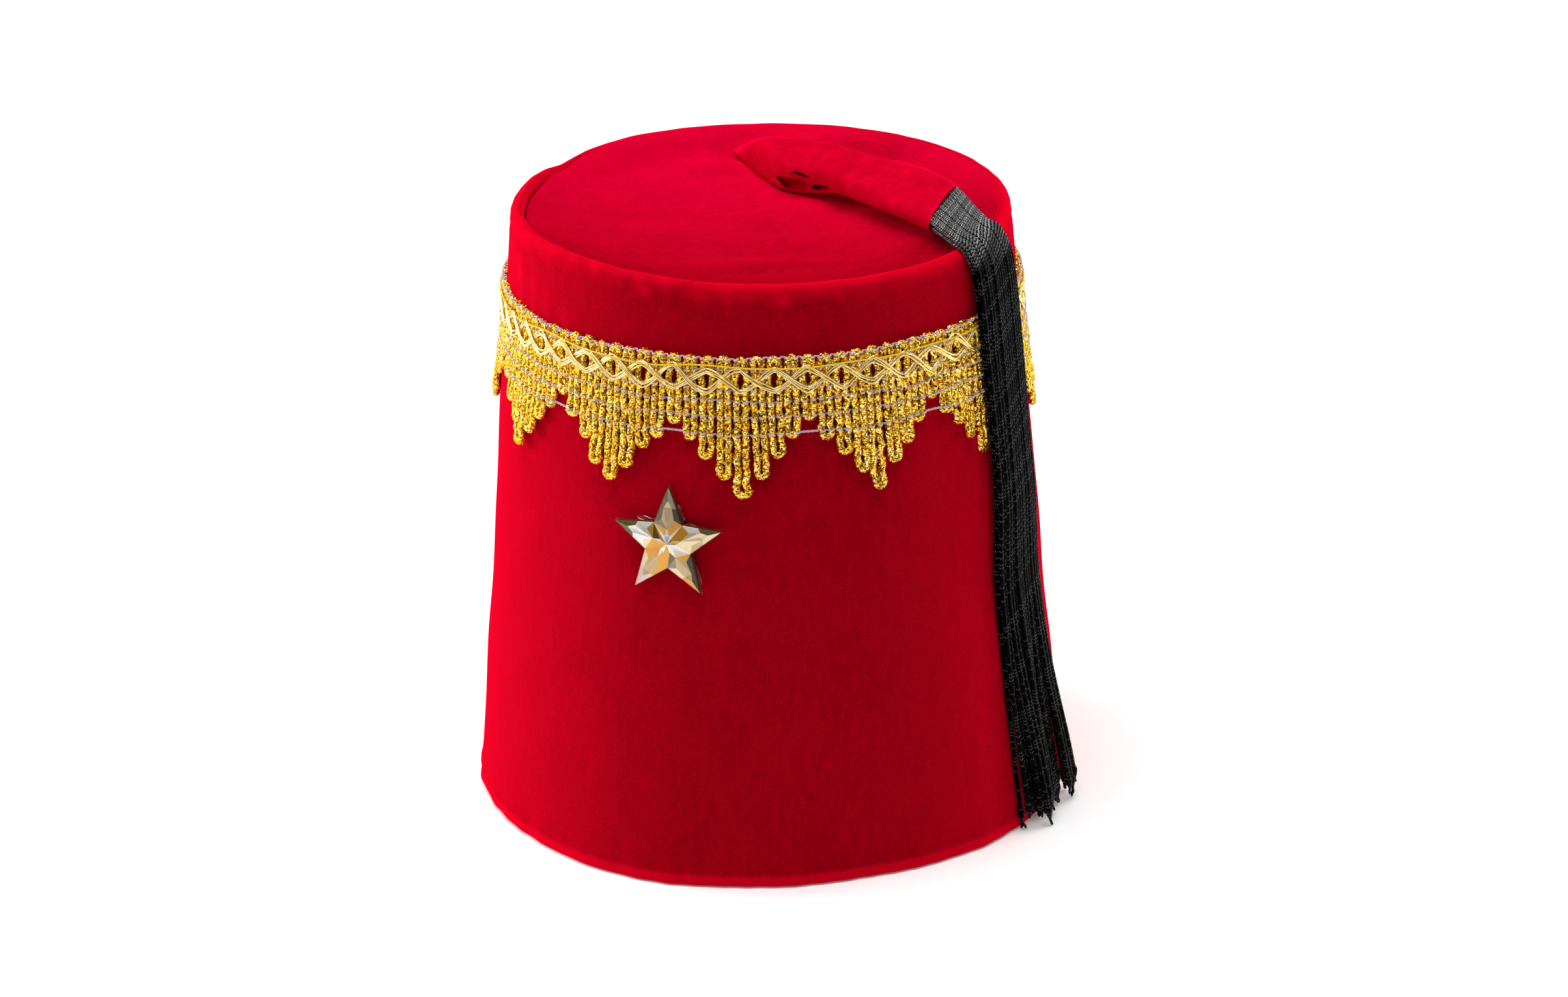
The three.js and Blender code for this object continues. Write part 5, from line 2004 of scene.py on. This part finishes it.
    def facet_place(self, arm: int, out: float, aside: float) -> Array:
        """Returns a point of an arm just under the stone's face.

        Args:
            arm: The arm, counted clockwise from the top.
            out: Share of the way from the middle to the tip.
            aside: Share of the arm's half width there, below zero on its left.

        Returns:
            The point in the star's own frame, in millimetres.
        """
        notch_out = self.inner * math.cos(math.pi / 5)
        notch_aside = self.inner * math.sin(math.pi / 5)
        if out < notch_out:
            half = out * math.tan(math.pi / 5)
        else:
            half = (1 - out) / (1 - notch_out) * notch_aside
        slide = aside * half
        share = out + abs(slide) * (1 - notch_out) / notch_aside
        levels = (self.thickness, self.thickness - 0.2, self.girdle + self.bevel)
        height = float(np.interp(share, (0, self.TABLE, 1 - self.bevel / self.radius), levels))
        angle = arm * 2 * math.pi / 5
        way = np.array([math.sin(angle), math.cos(angle)])
        across = np.array([math.cos(angle), -math.sin(angle)])
        flat = (way * out + across * slide) * self.radius * self.foil_share
        return np.array([*flat, height - self.foil_depth])

    def corner(self, arm: int, name: str) -> int:
        """Returns the number of a named corner of the foil.

        Args:
            arm: The arm, counted clockwise from the top.
            name: The corner's name; the left notch is the last arm's own notch.

        Returns:
            Its place in the list of points, after the middle.
        """
        if name == "middle":
            return 0
        if name == "left_notch":
            arm, name = (arm - 1) % 5, "notch"
        return 1 + arm * len(self.NODES) + list(self.NODES).index(name)

    def foil(self) -> Piece:
        """Returns the foil with its facets, inside the clear stone."""
        points: list[Array] = [np.array([0.0, 0.0, self.thickness - self.foil_depth])]
        faces: list[tuple[int, ...]] = []
        tones: list[float] = []
        for arm, letters in enumerate(self.ARMS):
            points += [self.facet_place(arm, out, aside) for out, aside in self.NODES.values()]
            for letter, facet in zip(letters, self.FACETS):
                faces.append(tuple(self.corner(arm, name) for name in facet)[::-1])
                tones.append(self.TONES[letter])
        edge = ("left_edge", "tip", "right_edge", "notch")
        rim = [self.corner(arm, name) for arm in range(5) for name in edge]
        low = len(points)
        points += [np.array([*points[k][:2], 0.25]) for k in rim]
        for i in range(len(rim)):
            after = (i + 1) % len(rim)
            faces.append((rim[i], rim[after], low + after, low + i))
        faces.append(tuple(range(low, low + len(rim))))
        tones += [self.TONES["o"]] * (len(rim) + 1)
        mesh = bpy.data.meshes.new("star_foil")
        mesh.from_pydata((self.on_hat(np.array(points)) * MM + AXIS).tolist(), [], faces)
        tone = mesh.attributes.new("tone_and_painted_light", "FLOAT", "CORNER")
        shades = np.repeat(tones, [len(face) for face in faces])
        tone.data.foreach_set("value", shades.astype(np.float32))
        piece = mesh_object("star_foil", mesh, GoldFoil().material())
        piece.data.polygons.foreach_set("use_smooth", np.zeros(len(piece.data.polygons), bool))
        return placed(piece, "cut_stone")

    def glue(self) -> Piece:
        """Returns the clear glue that was squeezed out round the stone."""
        shell = ShellBuilder()
        turn = np.linspace(0, 2 * math.pi, 28, endpoint=False)[None, :]
        rings = np.linspace(0.95, 0.05, 9)[:, None] * math.pi
        for right, up, length, width, tilt in self.GLUE:
            flat = np.sin(rings)
            x = flat * np.cos(turn) * length / 2 * (1 + 0.12 * np.sin(3 * turn + right))
            y = flat * np.sin(turn) * width / 2 * (1 + 0.2 * np.sin(4 * turn + up))
            angle = math.radians(tilt)
            across = right + x * math.cos(angle) - y * math.sin(angle)
            above = up + x * math.sin(angle) + y * math.cos(angle)
            out = 0.35 * np.cos(rings) + 0.25 - across**2 / 170
            blob = np.stack([across, above, out], -1)
            first = shell.add_grid(self.on_hat(blob), np.linspace(0, 0.01, 29), np.linspace(0, 0.01, 9))
            poles = [np.array([right, up, z - right**2 / 170]) for z in (-0.1, 0.6)]
            shell.add_fan(first, 28, self.on_hat(poles[0]), (0, 0), True)
            shell.add_fan(first + 8 * 28, 28, self.on_hat(poles[1]), (0, 0), False)
        clear = ClearStone(name="clear_glue", tint=(1.0, 0.93, 0.94), roughness=0.12, scratches=0.00012)
        return placed(shell.build("star_glue", clear.material()), "cut_stone")

    def build(self) -> None:
        """Makes the stone, its foil and the glue."""
        self.glass()
        self.foil()
        self.glue()


# Studio


class Lamp(Enum):
    """Soft lights round the hat: azimuth and elevation in degrees, distance and size in metres, power."""

    OVERHEAD = (0.0, 86.0, 1.5, 1.6, 31.0)
    EDGE_LEFT = (-112.0, 14.0, 1.4, 0.9, 15.0)
    SIDE_LEFT = (-80.0, 35.0, 1.5, 1.1, 3.0)
    EDGE_RIGHT = (118.0, 14.0, 1.4, 0.9, 7.0)


@dataclass(frozen=True)
class Studio:
    """Floor, soft lights and the camera.

    Attributes:
        form: The hat's form.
        distance: Distance of the camera from the hat's middle, in metres.
        elevation: Height of the camera above the horizon, in degrees.
        roll: Turn of the camera about its view, in radians.
        lens: Focal length for a sensor of 36 mm.
        shift: Sideways and upward shift of the frame.
        world: Strength of the white surroundings.
    """

    form: HatForm = FORM
    distance: float = 1.9
    elevation: float = 21.989
    roll: float = 0.01927
    lens: float = 138.45
    shift: tuple[float, float] = (0.01139, -0.00732)
    world: float = 0.09
    # Share of the hat's height that the lamps aim at, the sensor's width and the camera's reach
    LIT_HEIGHT = 0.55
    SENSOR_MM = 36.0
    CLIP = (0.05, 50.0)

    def floor(self) -> None:
        """Lays the floor."""
        mesh = bpy.data.meshes.new("studio_floor")
        reach = 6.0
        corners = [(reach * x, reach * y, 0.0) for x, y in ((-1, -1), (1, -1), (1, 1), (-1, 1))]
        mesh.from_pydata(corners, [], [(0, 1, 2, 3)])
        mesh_object("studio_floor", mesh, StudioFloor().material())

    def lights(self) -> None:
        """Hangs the lights and lights the surroundings."""
        world = bpy.data.worlds.new("studio")
        world.use_nodes = True
        backdrop = world.node_tree.nodes["Background"]
        backdrop.inputs["Color"].default_value = (1, 1, 1, 1)
        nodes = Nodes(world.node_tree)
        seen = nodes.add("ShaderNodeLightPath").outputs["Is Camera Ray"]
        strength = nodes.math("MAXIMUM", seen, self.world)
        world.node_tree.links.new(strength, backdrop.inputs["Strength"])
        bpy.context.scene.world = world
        middle = Vector((*AXIS[:2], self.form.height * MM * self.LIT_HEIGHT))
        for lamp in Lamp:
            azimuth, elevation, distance, size, power = lamp.value
            light = bpy.data.lights.new(lamp.name.lower(), "AREA")
            light.shape, light.size, light.energy = "DISK", size, power
            holder = bpy.data.objects.new(lamp.name.lower(), light)
            bpy.context.scene.collection.objects.link(holder)
            side = math.cos(math.radians(elevation)) * distance
            place = around(azimuth, side, math.sin(math.radians(elevation)) * distance)
            holder.location = middle + Vector(place.tolist())
            holder.rotation_mode = "QUATERNION"
            holder.rotation_quaternion = (middle - holder.location).to_track_quat("-Z", "Y")

    def camera(self) -> None:
        """Sets the camera at the photograph's angle."""
        data = bpy.data.cameras.new("camera")
        data.lens, data.sensor_width = self.lens, self.SENSOR_MM
        data.shift_x, data.shift_y = self.shift
        data.clip_start, data.clip_end = self.CLIP
        camera = bpy.data.objects.new("camera", data)
        bpy.context.scene.collection.objects.link(camera)
        rise = math.radians(self.elevation)
        back = Vector((0, -math.cos(rise), math.sin(rise)))
        right, up = Vector((1, 0, 0)), Vector((0, math.sin(rise), math.cos(rise)))
        turned_right = right * math.cos(self.roll) - up * math.sin(self.roll)
        turned_up = right * math.sin(self.roll) + up * math.cos(self.roll)
        axes = Matrix((turned_right, turned_up, back)).transposed()
        target = Vector((*AXIS[:2], self.form.height * MM / 2))
        camera.matrix_world = Matrix.Translation(target + back * self.distance) @ axes.to_4x4()
        bpy.context.scene.camera = camera

    def build(self) -> None:
        """Sets up the studio."""
        self.floor()
        self.lights()
        self.camera()
        bpy.context.scene.view_settings.view_transform = "Standard"
        bpy.context.scene.view_settings.look = "None"
        LOG.info("studio: %d lights", len(Lamp))


def main() -> None:
    """Builds and dresses every piece of the hat and sets up the studio."""
    logging.basicConfig(level=logging.INFO, format="%(message)s")
    Studio().build()
    WallPiece().build()
    CrownPiece().build()
    SleevePiece().build()
    TasselPiece().build()
    TrimPiece().build()
    StarPiece().build()


if __name__ == "__main__":
    main()
